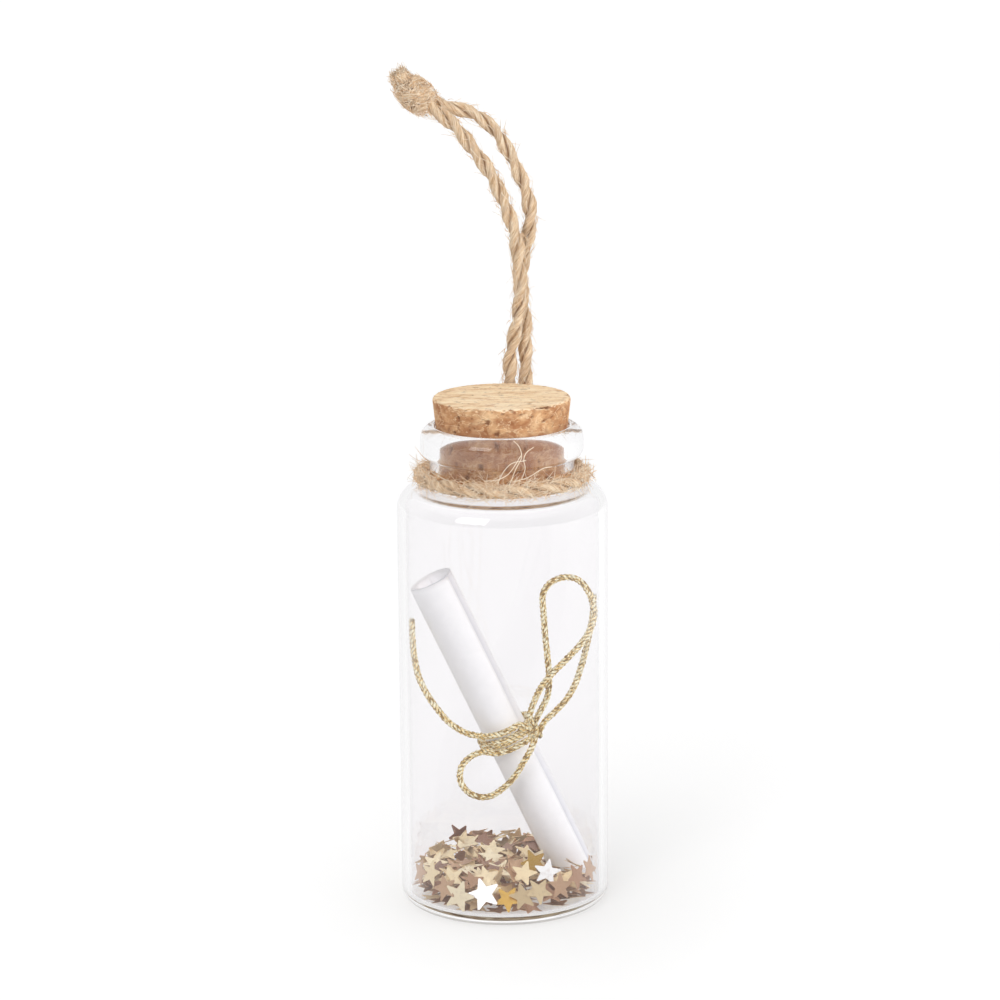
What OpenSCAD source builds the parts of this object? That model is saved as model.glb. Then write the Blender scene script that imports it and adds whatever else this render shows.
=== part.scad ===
// Message in a bottle: a small corked glass vial on a jute hanging loop.
// Inside are a rolled paper note, tied with gold cord in a bow, and a bed of
// star confetti. Millimetres, +Z up, origin at the middle of the base.

/* [Bottle] */
// Outer diameter of the straight body
body_d = 30; // [29:0.5:34]
// Height from the table to the top of the rim
bottle_h = 70; // [68:0.5:74]
// Thickness of the glass in the body wall
body_wall = 1.2; // [0.8:0.1:1.4]
// Radius of the rounded heel at the base
heel_r = 2; // [1:0.25:3]
// Radius of the corner between the floor and the wall, inside
inner_heel_r = 1.8; // [1:0.1:2.5]
// Width of the flat ring that the bottle stands on
stand_w = 1.2; // [0.8:0.1:2]
// Height of the push-up in the middle of the base
punt_h = 0.5; // [0.2:0.1:0.8]
// Height of the glass floor inside, above the table
floor_h = 1.7; // [1.5:0.1:2]
// Distance from the rim down to where the shoulder starts to curve in
shoulder_drop = 12; // [11:0.25:13]
// Outer radius of the shoulder's curve
shoulder_r = 3.5; // [3:0.25:4]

/* [Neck and rim] */
// Outer diameter of the neck, under the rim
neck_d = 20.6; // [20.2:0.2:21.4]
// Radius of the hollow between shoulder and neck, where the twine sits
hollow_r = 1.2; // [1.15:0.05:1.4]
// Outer diameter of the rolled rim
rim_d = 23.2; // [22.4:0.2:23.4]
// Height of the rolled rim
rim_h = 4.6; // [4:0.2:4.8]
// Radius of the rim's upper outer edge
rim_top_r = 1.9; // [1.4:0.1:2.2]
// Radius of the lip's inner edge
lip_r = 0.35; // [0.2:0.05:0.5]
// Inner diameter of the mouth at the rim
mouth_d = 18.8; // [18.4:0.1:19.2]
// Inner diameter at the foot of the neck
bore_d = 16.9; // [16.4:0.1:17.4]
// Radius of the inner edge at the foot of the neck
bore_edge_r = 0.8; // [0.5:0.1:1]

/* [Cork] */
// How far the cork stands out of the bottle
cork_proud = 4; // [3:0.25:6]
// How far the cork reaches down into the neck
cork_depth = 8.7; // [7:0.1:8.8]
// Width of the bevel on the cork's edges
cork_bevel = 0.35; // [0.2:0.05:0.6]
// Clearance between the cork and the glass
cork_gap = 0.04; // [0.02:0.01:0.08]

/* [Jute twine] */
// Diameter of the twine
twine_d = 2.1; // [1.8:0.05:2.15]
// Clearance between the twine and the glass
twine_gap = 0.15; // [0.1:0.05:0.2]
// Diameter of the knot behind the neck
neck_knot_d = 3.4; // [3:0.1:3.5]
// Length of the knot behind the neck
neck_knot_len = 5.2; // [4.6:0.1:5.6]
// Clearance between the neck knot and the loop that folds about it
fold_gap = 0.1; // [0.1:0.05:0.3]
// Diameter of the twine's winds in the knot at the top of the loop
top_knot_d = 4.9; // [4.4:0.1:5.4]
// Length of the knot at the top of the loop
top_knot_len = 5.4; // [5:0.1:6]
// Length of the cut ends beyond the top knot
cut_end_len = 3.4; // [2.5:0.1:4.5]
// Width across a frayed cut end
fray_d = 2.4; // [2.1:0.1:2.6]

/* [Paper message] */
// Outer diameter of the rolled paper
roll_d = 7; // [6.8:0.1:7.1]
// Length of the roll, which is the width of the sheet
roll_len = 48.5; // [46:0.5:49]
// Number of turns that the sheet is rolled through
roll_turns = 2.6; // [2:0.1:3]
// Thickness of the paper
paper_t = 0.12; // [0.08:0.01:0.14]
// Pitch of the spiral from one turn to the next
roll_pitch = 0.3; // [0.26:0.02:0.4]
// Angle round the roll at which the sheet's loose outer edge lies, from its right side
roll_edge_turn = 15; // [0:1:60]
// Lean of the roll towards the front, in degrees
roll_tip = 2.3; // [0:0.1:3]
// Clearance of the roll's lower end from the glass
roll_foot_gap = 0.55; // [0.5:0.05:0.8]
// Clearance of the roll's upper end from the glass
roll_head_gap = 0.3; // [0.25:0.05:0.4]
// Distance of the roll's lower end behind the bottle's middle
roll_foot_y = 1.5; // [1:0.1:1.6]
// Height of the middle of the roll's lower end above the inner floor
roll_foot_rise = 1.9; // [1.7:0.1:2.4]

/* [Gold cord] */
// Diameter of the gold cord
gold_d = 0.85; // [0.7:0.05:0.9]
// Clearance between the cord and the paper
gold_gap = 0.05; // [0.05:0.05:0.15]
// Distance of the lower wrap from the roll's lower end
wrap_at = 22.8; // [22.6:0.1:22.9]
// Distance between the two wraps
wrap_pitch = 0.9; // [0.88:0.01:0.95]
// Diameter of the bow's knot
gold_knot_d = 1.8; // [1.6:0.1:2]
// Length of the bow's knot
gold_knot_len = 3; // [2.6:0.1:3.4]
// Angle of the bow's knot round the roll, from its right side, in degrees
gold_knot_turn = 38; // [34:1:42]

/* [Star confetti] */
// Width of a star from point to point
star_w = 3.7; // [3:0.1:3.8]
// Thickness of the foil
star_t = 0.12; // [0.05:0.01:0.15]
// Radius of a star's inner corners as a part of its outer radius
star_waist = 0.45; // [0.38:0.01:0.55]
// Largest tilt of a lying star, in degrees
star_tilt = 9; // [0:1:10]
// Least distance between two stars side by side
star_gap = 0.08; // [0.05:0.01:0.2]
// Clearance of the confetti from the glass and the paper
star_clear = 0.3; // [0.2:0.05:0.5]
// Height of the lowest layer's middle above the inner floor
bed_rise = 0.45; // [0.42:0.01:0.6]
// Height from one layer of stars to the next
bed_pitch = 0.8; // [0.78:0.01:0.9]
// Number of stars that stand against the glass
stander_count = 6; // [0:1:6]
// Lean of a standing star from upright, in degrees
stander_lean = 14; // [8:1:20]

/* [Hidden] */
$fn = 64;

glass_color = [0.93, 0.94, 0.95, 0.35];
cork_color = [0.82, 0.62, 0.42];
jute_color = [0.76, 0.62, 0.45];
paper_color = [0.96, 0.96, 0.96];
gold_color = [0.85, 0.72, 0.38];
foil_color = [0.78, 0.60, 0.30];

body_r = body_d / 2;
inner_r = body_r - body_wall;
neck_r = neck_d / 2;
rim_r = rim_d / 2;
mouth_r = mouth_d / 2;
bore_r = bore_d / 2;

// Heights up the bottle
shoulder_z = bottle_h - shoulder_drop;
shoulder_top = shoulder_z + shoulder_r;
neck_foot_z = shoulder_top + hollow_r;
rim_z = bottle_h - rim_h;
rim_low_r = rim_r - neck_r;
shoulder_x = body_r - shoulder_r;
hollow_x = neck_r + hollow_r;
inner_shoulder_r = shoulder_r - body_wall;
inner_top = shoulder_z + inner_shoulder_r;
bore_foot_z = inner_top + bore_edge_r;
arc_steps = 8;

// The bore and the cork share one taper
bore_taper = (mouth_r - bore_r) / (bottle_h - lip_r - bore_foot_z);
function bore_at(z) = bore_r + (z - bore_foot_z) * bore_taper;
cork_foot_z = bottle_h - cork_depth;
cork_top_z = bottle_h + cork_proud;

twine_r = twine_d / 2;
band_x = neck_r + twine_gap + twine_r;
band_z = shoulder_top + twine_gap + twine_r;

// The neck knot's middle is also the axis that the loop folds about
fold_x = 2.3;
fold_y = rim_r + twine_gap + fold_gap + twine_r;
fold_z = shoulder_z + sqrt(pow(shoulder_r + neck_knot_d / 2 + twine_gap, 2)
    - pow(norm([fold_x, fold_y]) - shoulder_x, 2));

// Middle of the top knot, and its slope from the level
top_knot_at = [-11.7, 12.9, 115.1];
top_knot_slope = 38.5;
top_knot_core = top_knot_d - 2 * twine_d;
top_wind_pitch = (top_knot_len - twine_d) / 2;
top_wind_tilt = 12;
cut_end_slope = 63;

// The roll leans from the glass on one side to the glass on the other
roll_r = roll_d / 2;
roll_span = 2 * inner_r - roll_foot_gap - roll_head_gap;
roll_lean = asin(roll_span / norm([roll_len, roll_d])) - atan(roll_d / roll_len);
roll_foot_x = inner_r - roll_foot_gap - roll_r * cos(roll_lean);
roll_foot = [roll_foot_x, roll_foot_y, floor_h + roll_foot_rise];
roll_steps = 24;

gold_r = gold_d / 2;
wrap_r = roll_r + gold_gap + gold_r;
gold_knot_x = wrap_r + gold_r + gold_knot_d / 2;
gold_knot_rise = -0.9;
gold_knot_z = wrap_at + wrap_pitch / 2 + gold_knot_rise;

star_r = star_w / 2 / cos(18);
star_pitch = 2 * star_r + star_gap;
star_sag = star_r * sin(star_tilt) + star_t;
foot_clear_x = roll_r / cos(roll_lean) + 2 * bed_pitch * tan(roll_lean) + star_clear + star_r;
foot_clear_y = roll_r + star_clear + star_r;
bed_layers = 4;
bed_top_z = layer_z(bed_layers - 1) + star_sag;
stander_r = sqrt(pow(inner_r - star_clear, 2) - pow(star_r, 2)) - star_r * sin(stander_lean);

// Routes of the free cords, chosen by hand, from the knot that holds each one
leg_left_route = [
    [1.2, 12.9, 64.9], [1.2, 12.9, 69.2], [1.2, 12.8, 73.4], [1.3, 12.5, 77.4], [2, 12.1, 81],
    [2.6, 11.8, 84.7], [2.9, 11.7, 87.8], [2.5, 11.7, 91], [2.3, 11.7, 94.4], [1.3, 11.7, 97.9],
    [0.1, 11.7, 101], [-1.3, 11.7, 104], [-3.4, 11.7, 107], [-5.4, 11.7, 109.8], [-7.6, 11.7, 112],
    [-10.3, 11.8, 114]
];
leg_right_route = [
    [3.4, 12.9, 64.9], [3.5, 12.9, 69.2], [3.5, 13, 73.4], [3.5, 13.3, 77.4], [3.5, 13.8, 81],
    [3.2, 14, 84.7], [2.9, 14.1, 87.8], [3.2, 14.1, 91.2], [4, 14.1, 94.6], [4.3, 14.1, 98],
    [3.7, 14.1, 101.2], [2.6, 14.1, 104], [1.1, 14.1, 107.2], [-1, 14.1, 110.2],
    [-3.6, 14.1, 112.2], [-6.7, 14, 113.2], [-10.3, 14, 114.1]
];
gold_tail_left_route = [
    [3.5, -3, 26.1], [2.3, -3.3, 26.8], [0.7, -3.8, 26.1], [-1, -3.9, 25.5], [-3.1, -3.6, 25.2],
    [-5.4, -3.2, 25.6], [-7.5, -2.9, 26.8], [-9.3, -2.7, 28.8], [-10.9, -2.5, 31.2],
    [-12, -2.3, 33.6], [-12.6, -2.1, 36.2], [-12.9, -1.9, 39.1], [-13, -1.7, 42]
];
gold_loop_lower_route = [
    [4.4, -3.4, 24.7], [3.8, -4.2, 23.4], [2.7, -4.7, 21.6], [1.5, -4.8, 19.6], [-0.1, -4.9, 17.9],
    [-2.2, -4.9, 16.6], [-4.5, -4.8, 16.8], [-6.1, -4.6, 18.4], [-6.2, -4.3, 20.6],
    [-4.9, -4, 22.2], [-3.1, -3.8, 22.9], [-1.2, -3.8, 22.7], [0.8, -3.8, 23.2],
    [2.6, -3.3, 24], [4.2, -2.4, 24.8]
];
gold_loop_upper_route = [
    [4.1, -3.4, 26.6], [3.6, -3.8, 28.1], [4.3, -4.3, 30.6], [5.3, -4.8, 32.8], [6.6, -5, 34.6],
    [8.6, -4.7, 36.6], [10.6, -4.1, 38.6], [12, -3.5, 40.6], [12.7, -3, 43], [12.2, -3, 45.7],
    [10.9, -3.3, 47.8], [9, -3.7, 48.6], [6.9, -3.9, 48], [5.6, -4, 46.2], [5.7, -3.9, 43.2],
    [5.9, -3.8, 40], [6.2, -3.7, 36.8], [6.4, -3.6, 33.9], [6.2, -3.4, 31.1],
    [5.2, -3, 28.8], [4.2, -2.5, 26.5]
];
gold_tail_right_route = [
    [4.9, -2.8, 25.5], [5.8, -2.5, 27], [7.3, -2.2, 28.4], [8.9, -2, 30.1], [10.1, -1.9, 32.2],
    [10.9, -1.8, 34.5], [11.6, -1.7, 37], [12.2, -1.5, 39.6], [12.7, -1.3, 42.2], [13, -1, 45.2]
];

// Points on an arc about [x, y] from angle a0 to angle a1
function arc(x, y, r, a0, a1) =
    [for (i = [0:arc_steps]) let (a = a0 + (a1 - a0) * i / arc_steps) [x + r * cos(a), y + r * sin(a)]];

// Underside of the base: a shallow dome inside the standing ring
stand_r = body_r - heel_r;
dome_r = stand_r - stand_w;
function dome() = [for (i = [0:arc_steps])
    let (part = i / arc_steps) [dome_r * part, punt_h * (1 - pow(part, 2))]];

// Half outline of the glass, out along the base, up the outside and down the inside
bottle_outline = concat(
    dome(),
    arc(stand_r, heel_r, heel_r, -90, 0),
    arc(shoulder_x, shoulder_z, shoulder_r, 0, 90),
    arc(hollow_x, neck_foot_z, hollow_r, -90, -180),
    arc(neck_r, rim_z + rim_low_r, rim_low_r, -90, 0),
    arc(rim_r - rim_top_r, bottle_h - rim_top_r, rim_top_r, 0, 90),
    arc(mouth_r + lip_r, bottle_h - lip_r, lip_r, 90, 180),
    arc(bore_r + bore_edge_r, bore_foot_z, bore_edge_r, 180, 270),
    arc(shoulder_x, shoulder_z, inner_shoulder_r, 90, 0),
    arc(inner_r - inner_heel_r, floor_h + inner_heel_r, inner_heel_r, 0, -90),
    [[0, floor_h]]
);

module bottle() {
    color(glass_color) rotate_extrude() polygon(bottle_outline);
}

module cork_stopper() {
    foot_r = bore_at(cork_foot_z) - cork_gap;
    top_r = bore_at(cork_top_z) - cork_gap;
    bevel_in = cork_bevel * bore_taper;
    color(cork_color) rotate_extrude() polygon([
        [0, cork_foot_z], [foot_r - cork_bevel, cork_foot_z],
        [foot_r + bevel_in, cork_foot_z + cork_bevel], [top_r - bevel_in, cork_top_z - cork_bevel],
        [top_r - cork_bevel, cork_top_z], [0, cork_top_z]
    ]);
}

module neck_band() {
    color(jute_color) translate([0, 0, band_z]) ring(band_x, twine_r);
}

module neck_knot() {
    color(jute_color) translate([fold_x, fold_y, fold_z]) rotate([0, 90, 0])
        capsule(neck_knot_d, neck_knot_len);
}

// A round ring of cord in the XY plane
module ring(ring_r, cord_r) {
    rotate_extrude() translate([ring_r, 0]) circle(r = cord_r);
}

// A bar along Z with round ends, centred
module capsule(d, len) {
    straight = len - d;
    cylinder(h = straight, d = d, center = true);
    for (end = [-1, 1]) translate([0, 0, end * straight / 2]) sphere(d = d);
}

function unit(v) = v / norm(v);
// Direction of a route at point i
function heading(route, i) =
    unit(route[min(i + 1, len(route) - 1)] - route[max(i - 1, 0)]);
// A direction square to t, kept level with the reference ref
function square_to(t, ref) = unit(ref - (ref * t) * t);
// Corners of the tube's ring at point i of a route
function cord_ring(route, i, r, sides) =
    let (t = heading(route, i), u = square_to(t, [0.1, 1, 0.15]), v = cross(t, u))
    [for (k = [0:sides - 1]) let (a = 360 * k / sides) route[i] + r * (cos(a) * u + sin(a) * v)];

// A cord of diameter d along a route, with flat cut ends
module cord(route, d) {
    sides = 8;
    count = len(route);
    rings = [for (i = [0:count - 1]) each cord_ring(route, i, d / 2, sides)];
    skin = [for (i = [0:count - 2], k = [0:sides - 1])
        let (a = i * sides + k, b = i * sides + (k + 1) % sides)
        each [[a, a + sides, b], [b, a + sides, b + sides]]];
    start_cap = [for (k = [0:sides - 1]) k];
    end_cap = [for (k = [sides - 1:-1:0]) (count - 1) * sides + k];
    polyhedron(points = rings, faces = concat(skin, [start_cap, end_cap]));
}

module loop_leg_left() {
    color(jute_color) cord(leg_left_route, twine_d);
}

module loop_leg_right() {
    color(jute_color) cord(leg_right_route, twine_d);
}

// Places children at the top knot, with +Z along its axis towards the cut ends
module at_top_knot() {
    translate(top_knot_at) rotate([0, top_knot_slope - 90, 0]) children();
}

// An overhand knot: three winds of twine drawn tight about a core
module loop_knot() {
    color(jute_color) at_top_knot() {
        cylinder(h = top_knot_len - twine_r, d = top_knot_core + twine_d, center = true);
        for (i = [-1:1]) translate([0, 0, i * top_wind_pitch])
            rotate([i == 0 ? top_wind_tilt : -top_wind_tilt, 0, 0])
                ring((top_knot_d - twine_d) / 2, twine_r);
    }
}

module loop_cut_ends() {
    color(jute_color) at_top_knot() for (side = [-1, 1])
        translate([0, side * twine_r, (top_knot_len - twine_d) / 2])
            rotate([side * -4, cut_end_slope - top_knot_slope, 0])
                cylinder(h = cut_end_len + twine_r, d1 = twine_d - 0.2, d2 = fray_d);
}

// Places children at the foot of the roll, with +Z along it
module on_roll() {
    translate(roll_foot) rotate([roll_tip, -roll_lean, 0]) children();
}

// Points of the sheet's spiral edge, at a distance from the sheet's outer face
function spiral(depth) = [for (i = [0:ceil(roll_turns * roll_steps)])
    let (a = min(i / roll_steps, roll_turns) * 360, r = roll_r - depth - a / 360 * roll_pitch)
    [r * cos(a), r * sin(a)]];
function reversed(list) = [for (i = [len(list) - 1:-1:0]) list[i]];

module paper_roll() {
    color(paper_color) on_roll() rotate([0, 0, -roll_edge_turn]) mirror([0, 1, 0])
        linear_extrude(roll_len) polygon(concat(spiral(0), reversed(spiral(paper_t))));
}

module gold_wrap() {
    color(gold_color) on_roll() for (i = [0:1]) translate([0, 0, wrap_at + i * wrap_pitch])
        ring(wrap_r, gold_r);
}

module gold_knot() {
    color(gold_color) on_roll() rotate([0, 0, -gold_knot_turn])
        translate([gold_knot_x, 0, gold_knot_z]) capsule(gold_knot_d, gold_knot_len);
}

module gold_loop_lower() {
    color(gold_color) cord(gold_loop_lower_route, gold_d);
}

module gold_loop_upper() {
    color(gold_color) cord(gold_loop_upper_route, gold_d);
}

module gold_tail_left() {
    color(gold_color) cord(gold_tail_left_route, gold_d);
}

module gold_tail_right() {
    color(gold_color) cord(gold_tail_right_route, gold_d);
}

// One foil star, flat and centred
module star() {
    linear_extrude(star_t, center = true) polygon([for (i = [0:9])
        let (r = i % 2 == 0 ? star_r : star_r * star_waist, a = 90 + 36 * i)
        [r * cos(a), r * sin(a)]]);
}

// A repeatable spread of numbers from 0 to 1
function scatter(i, k) = let (s = sin(i * 97.3 + k * 211.7) * 43.7) s - floor(s);

// Height of the middle of layer n of the stars
function layer_z(n) = floor_h + bed_rise + n * bed_pitch;

// Inner radius of the glass at height z, in the body or in its rounded foot
function inner_at(z) = let (drop = max(0, floor_h + inner_heel_r - z))
    inner_r - inner_heel_r + sqrt(pow(inner_heel_r, 2) - pow(drop, 2));

// True where a star's middle is clear of the paper roll's foot
function clear_of_roll(p) =
    pow((p[0] - roll_foot_x + bed_pitch) / foot_clear_x, 2)
    + pow((p[1] - roll_foot_y) / foot_clear_y, 2) > 1;

// Smallest angle to one side of +X at which a star at radius r is clear of the roll's foot
function first_clear(r, side) =
    [for (a = [0:180]) if (clear_of_roll(r * [cos(a), side * sin(a)])) a][0];

// Middles of the stars in a ring, from one side of the roll's foot round to the other
function ring_places(r, shift) =
    r < star_pitch / 2 ? [[0, 0]] :
    let (a0 = first_clear(r, 1), a1 = 360 - first_clear(r, -1),
        count = floor((a1 - a0) / (2 * asin(star_pitch / 2 / r))), step = (a1 - a0) / count,
        open_ring = 2 * r * sin((360 - a1 + a0) / 2) > star_pitch,
        last = open_ring && shift == 0 ? count : count - 1)
    [for (i = [0:last]) let (a = a0 + (i + shift) * step) r * [cos(a), sin(a)]];

// Middles of the stars in layer n: rings about the bottle's axis, the widest against the glass
function bed_places(n) =
    let (widest = inner_at(layer_z(n) - star_sag) - star_clear - star_r)
    [for (r = [widest:-star_pitch:0]) each ring_places(r, n % 2 / 2)];

module star_layer(n) {
    places = bed_places(n);
    color(foil_color) for (i = [0:len(places) - 1])
        translate([places[i][0], places[i][1], layer_z(n)])
            rotate([0, 0, 360 * scatter(i, n)])
                rotate([star_tilt * (2 * scatter(i, n + 5) - 1), 0, 0])
                    rotate([0, 0, 72 * scatter(i, n + 9)]) star();
}

// Stars that stand on the bed and lean on the glass, on both sides of the roll's foot
module stars_standing() {
    color(foil_color) for (i = [0:stander_count - 1])
        rotate([0, 0, (i < 3 ? -62 + i * 19 : 44 + (i - 3) * 19)])
            translate([stander_r, 0, bed_top_z + star_r])
                rotate([0, 90 - stander_lean, 0]) rotate([0, 0, 72 * scatter(i, 3)]) star();
}

bottle();
cork_stopper();
neck_band();
neck_knot();
loop_leg_left();
loop_leg_right();
loop_knot();
loop_cut_ends();
paper_roll();
gold_wrap();
gold_knot();
gold_loop_lower();
gold_loop_upper();
gold_tail_left();
gold_tail_right();
star_layer(0);  // stars_bottom
star_layer(1);  // stars_lower
star_layer(2);  // stars_upper
star_layer(3);  // stars_top
stars_standing();
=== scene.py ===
"""Looks of the message in a bottle.

A corked glass vial on a jute loop. Inside it are a rolled paper note, tied with
gold cord in a bow, and a bed of star confetti. Metres, +Z up, front along -Y.
"""

import logging
import math
import random
from dataclasses import dataclass
from enum import Enum
from typing import Callable, Iterable, Sequence

import bpy
import numpy as np
from mathutils import Matrix, Quaternion, Vector, noise


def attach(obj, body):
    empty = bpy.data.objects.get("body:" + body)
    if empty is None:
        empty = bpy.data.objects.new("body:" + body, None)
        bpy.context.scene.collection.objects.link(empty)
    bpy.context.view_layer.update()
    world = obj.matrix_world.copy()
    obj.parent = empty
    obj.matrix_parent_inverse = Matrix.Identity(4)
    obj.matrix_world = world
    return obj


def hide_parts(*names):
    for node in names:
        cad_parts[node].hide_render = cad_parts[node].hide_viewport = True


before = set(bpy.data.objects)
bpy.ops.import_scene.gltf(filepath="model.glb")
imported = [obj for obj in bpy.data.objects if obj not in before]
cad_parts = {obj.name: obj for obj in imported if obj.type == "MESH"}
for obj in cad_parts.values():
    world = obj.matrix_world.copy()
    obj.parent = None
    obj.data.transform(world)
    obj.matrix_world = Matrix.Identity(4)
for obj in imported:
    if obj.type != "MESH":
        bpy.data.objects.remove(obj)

LOG = logging.getLogger("message_in_a_bottle")
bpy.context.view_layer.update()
MM = 0.001
TURN = 2 * math.pi


def millimetres(route: Iterable[Sequence[float]]) -> list[Vector]:
    """Turn a route written in millimetres into points in metres."""
    return [Vector(point) * MM for point in route]


def srgb(code: str) -> tuple[float, float, float, float]:
    """Turn a colour written as six hexadecimal digits into linear light.

    Args:
        code: The colour as it is seen, such as "D9BE9A".

    Returns:
        Red, green, blue and a full alpha.
    """
    parts = [int(code[i : i + 2], 16) / 255 for i in (0, 2, 4)]
    red, green, blue = (c / 12.92 if c <= 0.04045 else ((c + 0.055) / 1.055) ** 2.4 for c in parts)
    return red, green, blue, 1.0


# ---------------------------------------------------------------- drawing tools


class Line:
    """A line through space with a frame carried along it without twist."""

    def __init__(self, spots: Sequence[Vector]) -> None:
        """Carry a frame along spots that already lie close together."""
        self.spots = [Vector(p) for p in spots]
        last = len(self.spots) - 1
        self.heads = [
            (self.spots[min(i + 1, last)] - self.spots[max(i - 1, 0)]).normalized() for i in range(last + 1)
        ]
        self.marks = [0.0]
        for before, after in zip(self.spots, self.spots[1:]):
            self.marks.append(self.marks[-1] + (after - before).length)
        start = self.heads[0]
        side = start.cross(Vector((0.13, 0.97, 0.21)))
        side = side if side.length > 0.2 else start.cross(Vector((0, 0, 1)))
        self.sides = [side.normalized()]
        for before, after in zip(self.heads, self.heads[1:]):
            turned = before.rotation_difference(after) @ self.sides[-1]
            self.sides.append((turned - after * turned.dot(after)).normalized())

    @classmethod
    def through(cls, knots: Sequence[Vector], step: float) -> "Line":
        """Draw a smooth line through a few knots.

        Args:
            knots: The points that the line passes through.
            step: The distance between the spots made along it.

        Returns:
            The line, with evenly spaced spots.
        """
        ends = [knots[0] * 2 - knots[1], *knots, knots[-1] * 2 - knots[-2]]
        fine: list[Vector] = []
        for a, b, c, d in zip(ends, ends[1:], ends[2:], ends[3:]):
            for k in range(12):
                t = k / 12
                fine.append(
                    0.5
                    * (
                        b * 2
                        + (c - a) * t
                        + (a * 2 - b * 5 + c * 4 - d) * t * t
                        + (b * 3 - a - c * 3 + d) * t * t * t
                    )
                )
        fine.append(knots[-1])
        marks = np.concatenate([[0.0], np.cumsum([(q - p).length for p, q in zip(fine, fine[1:])])])
        count = max(4, round(marks[-1] / step))
        wanted = np.linspace(0, marks[-1], count + 1)
        table = np.array([tuple(p) for p in fine])
        return cls([Vector([float(np.interp(w, marks, table[:, k])) for k in range(3)]) for w in wanted])

    @property
    def length(self) -> float:
        """Length of the line in metres."""
        return self.marks[-1]

    def frame_at(self, i: int) -> tuple[Vector, Vector, Vector, Vector]:
        """Spot, heading and the two directions across the line at spot i."""
        return self.spots[i], self.heads[i], self.sides[i], self.heads[i].cross(self.sides[i])

    def strand(self, offset: Callable[[float], float], lay: float, phase: float) -> "Line":
        """Draw a strand that winds round this line.

        Args:
            offset: Distance from this line, given the distance along it.
            lay: Length of one turn.
            phase: Angle at which the strand starts.

        Returns:
            The strand's own line.
        """
        spots = []
        for i, mark in enumerate(self.marks):
            spot, _, u, v = self.frame_at(i)
            a = phase + TURN * mark / lay
            spots.append(spot + offset(mark) * (math.cos(a) * u + math.sin(a) * v))
        return Line(spots)

    def part(self, start: float, end: float) -> "Line":
        """The stretch of this line between two distances along it."""
        return Line([s for s, m in zip(self.spots, self.marks) if start <= m <= end])


def groove_shade(line: Line, diameter: float, low: float, high: float) -> Callable[[int, Vector], float]:
    """Make a reading of how deep a point lies between the strands of a cord, which the finishes use as painted shade in
    the grooves.

    Args:
        line: The cord's middle.
        diameter: The cord's full width.
        low: Distance from the middle, as a part of the width, where the reading is 0.
        high: Distance where it is 1.

    Returns:
        A function of the number of a spot on the line and a point near it.
    """

    def reading(i: int, place: Vector) -> float:
        away = (place - line.spots[i]).length / diameter
        return min(max((away - low) / (high - low), 0.0), 1.0)

    return reading


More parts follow.
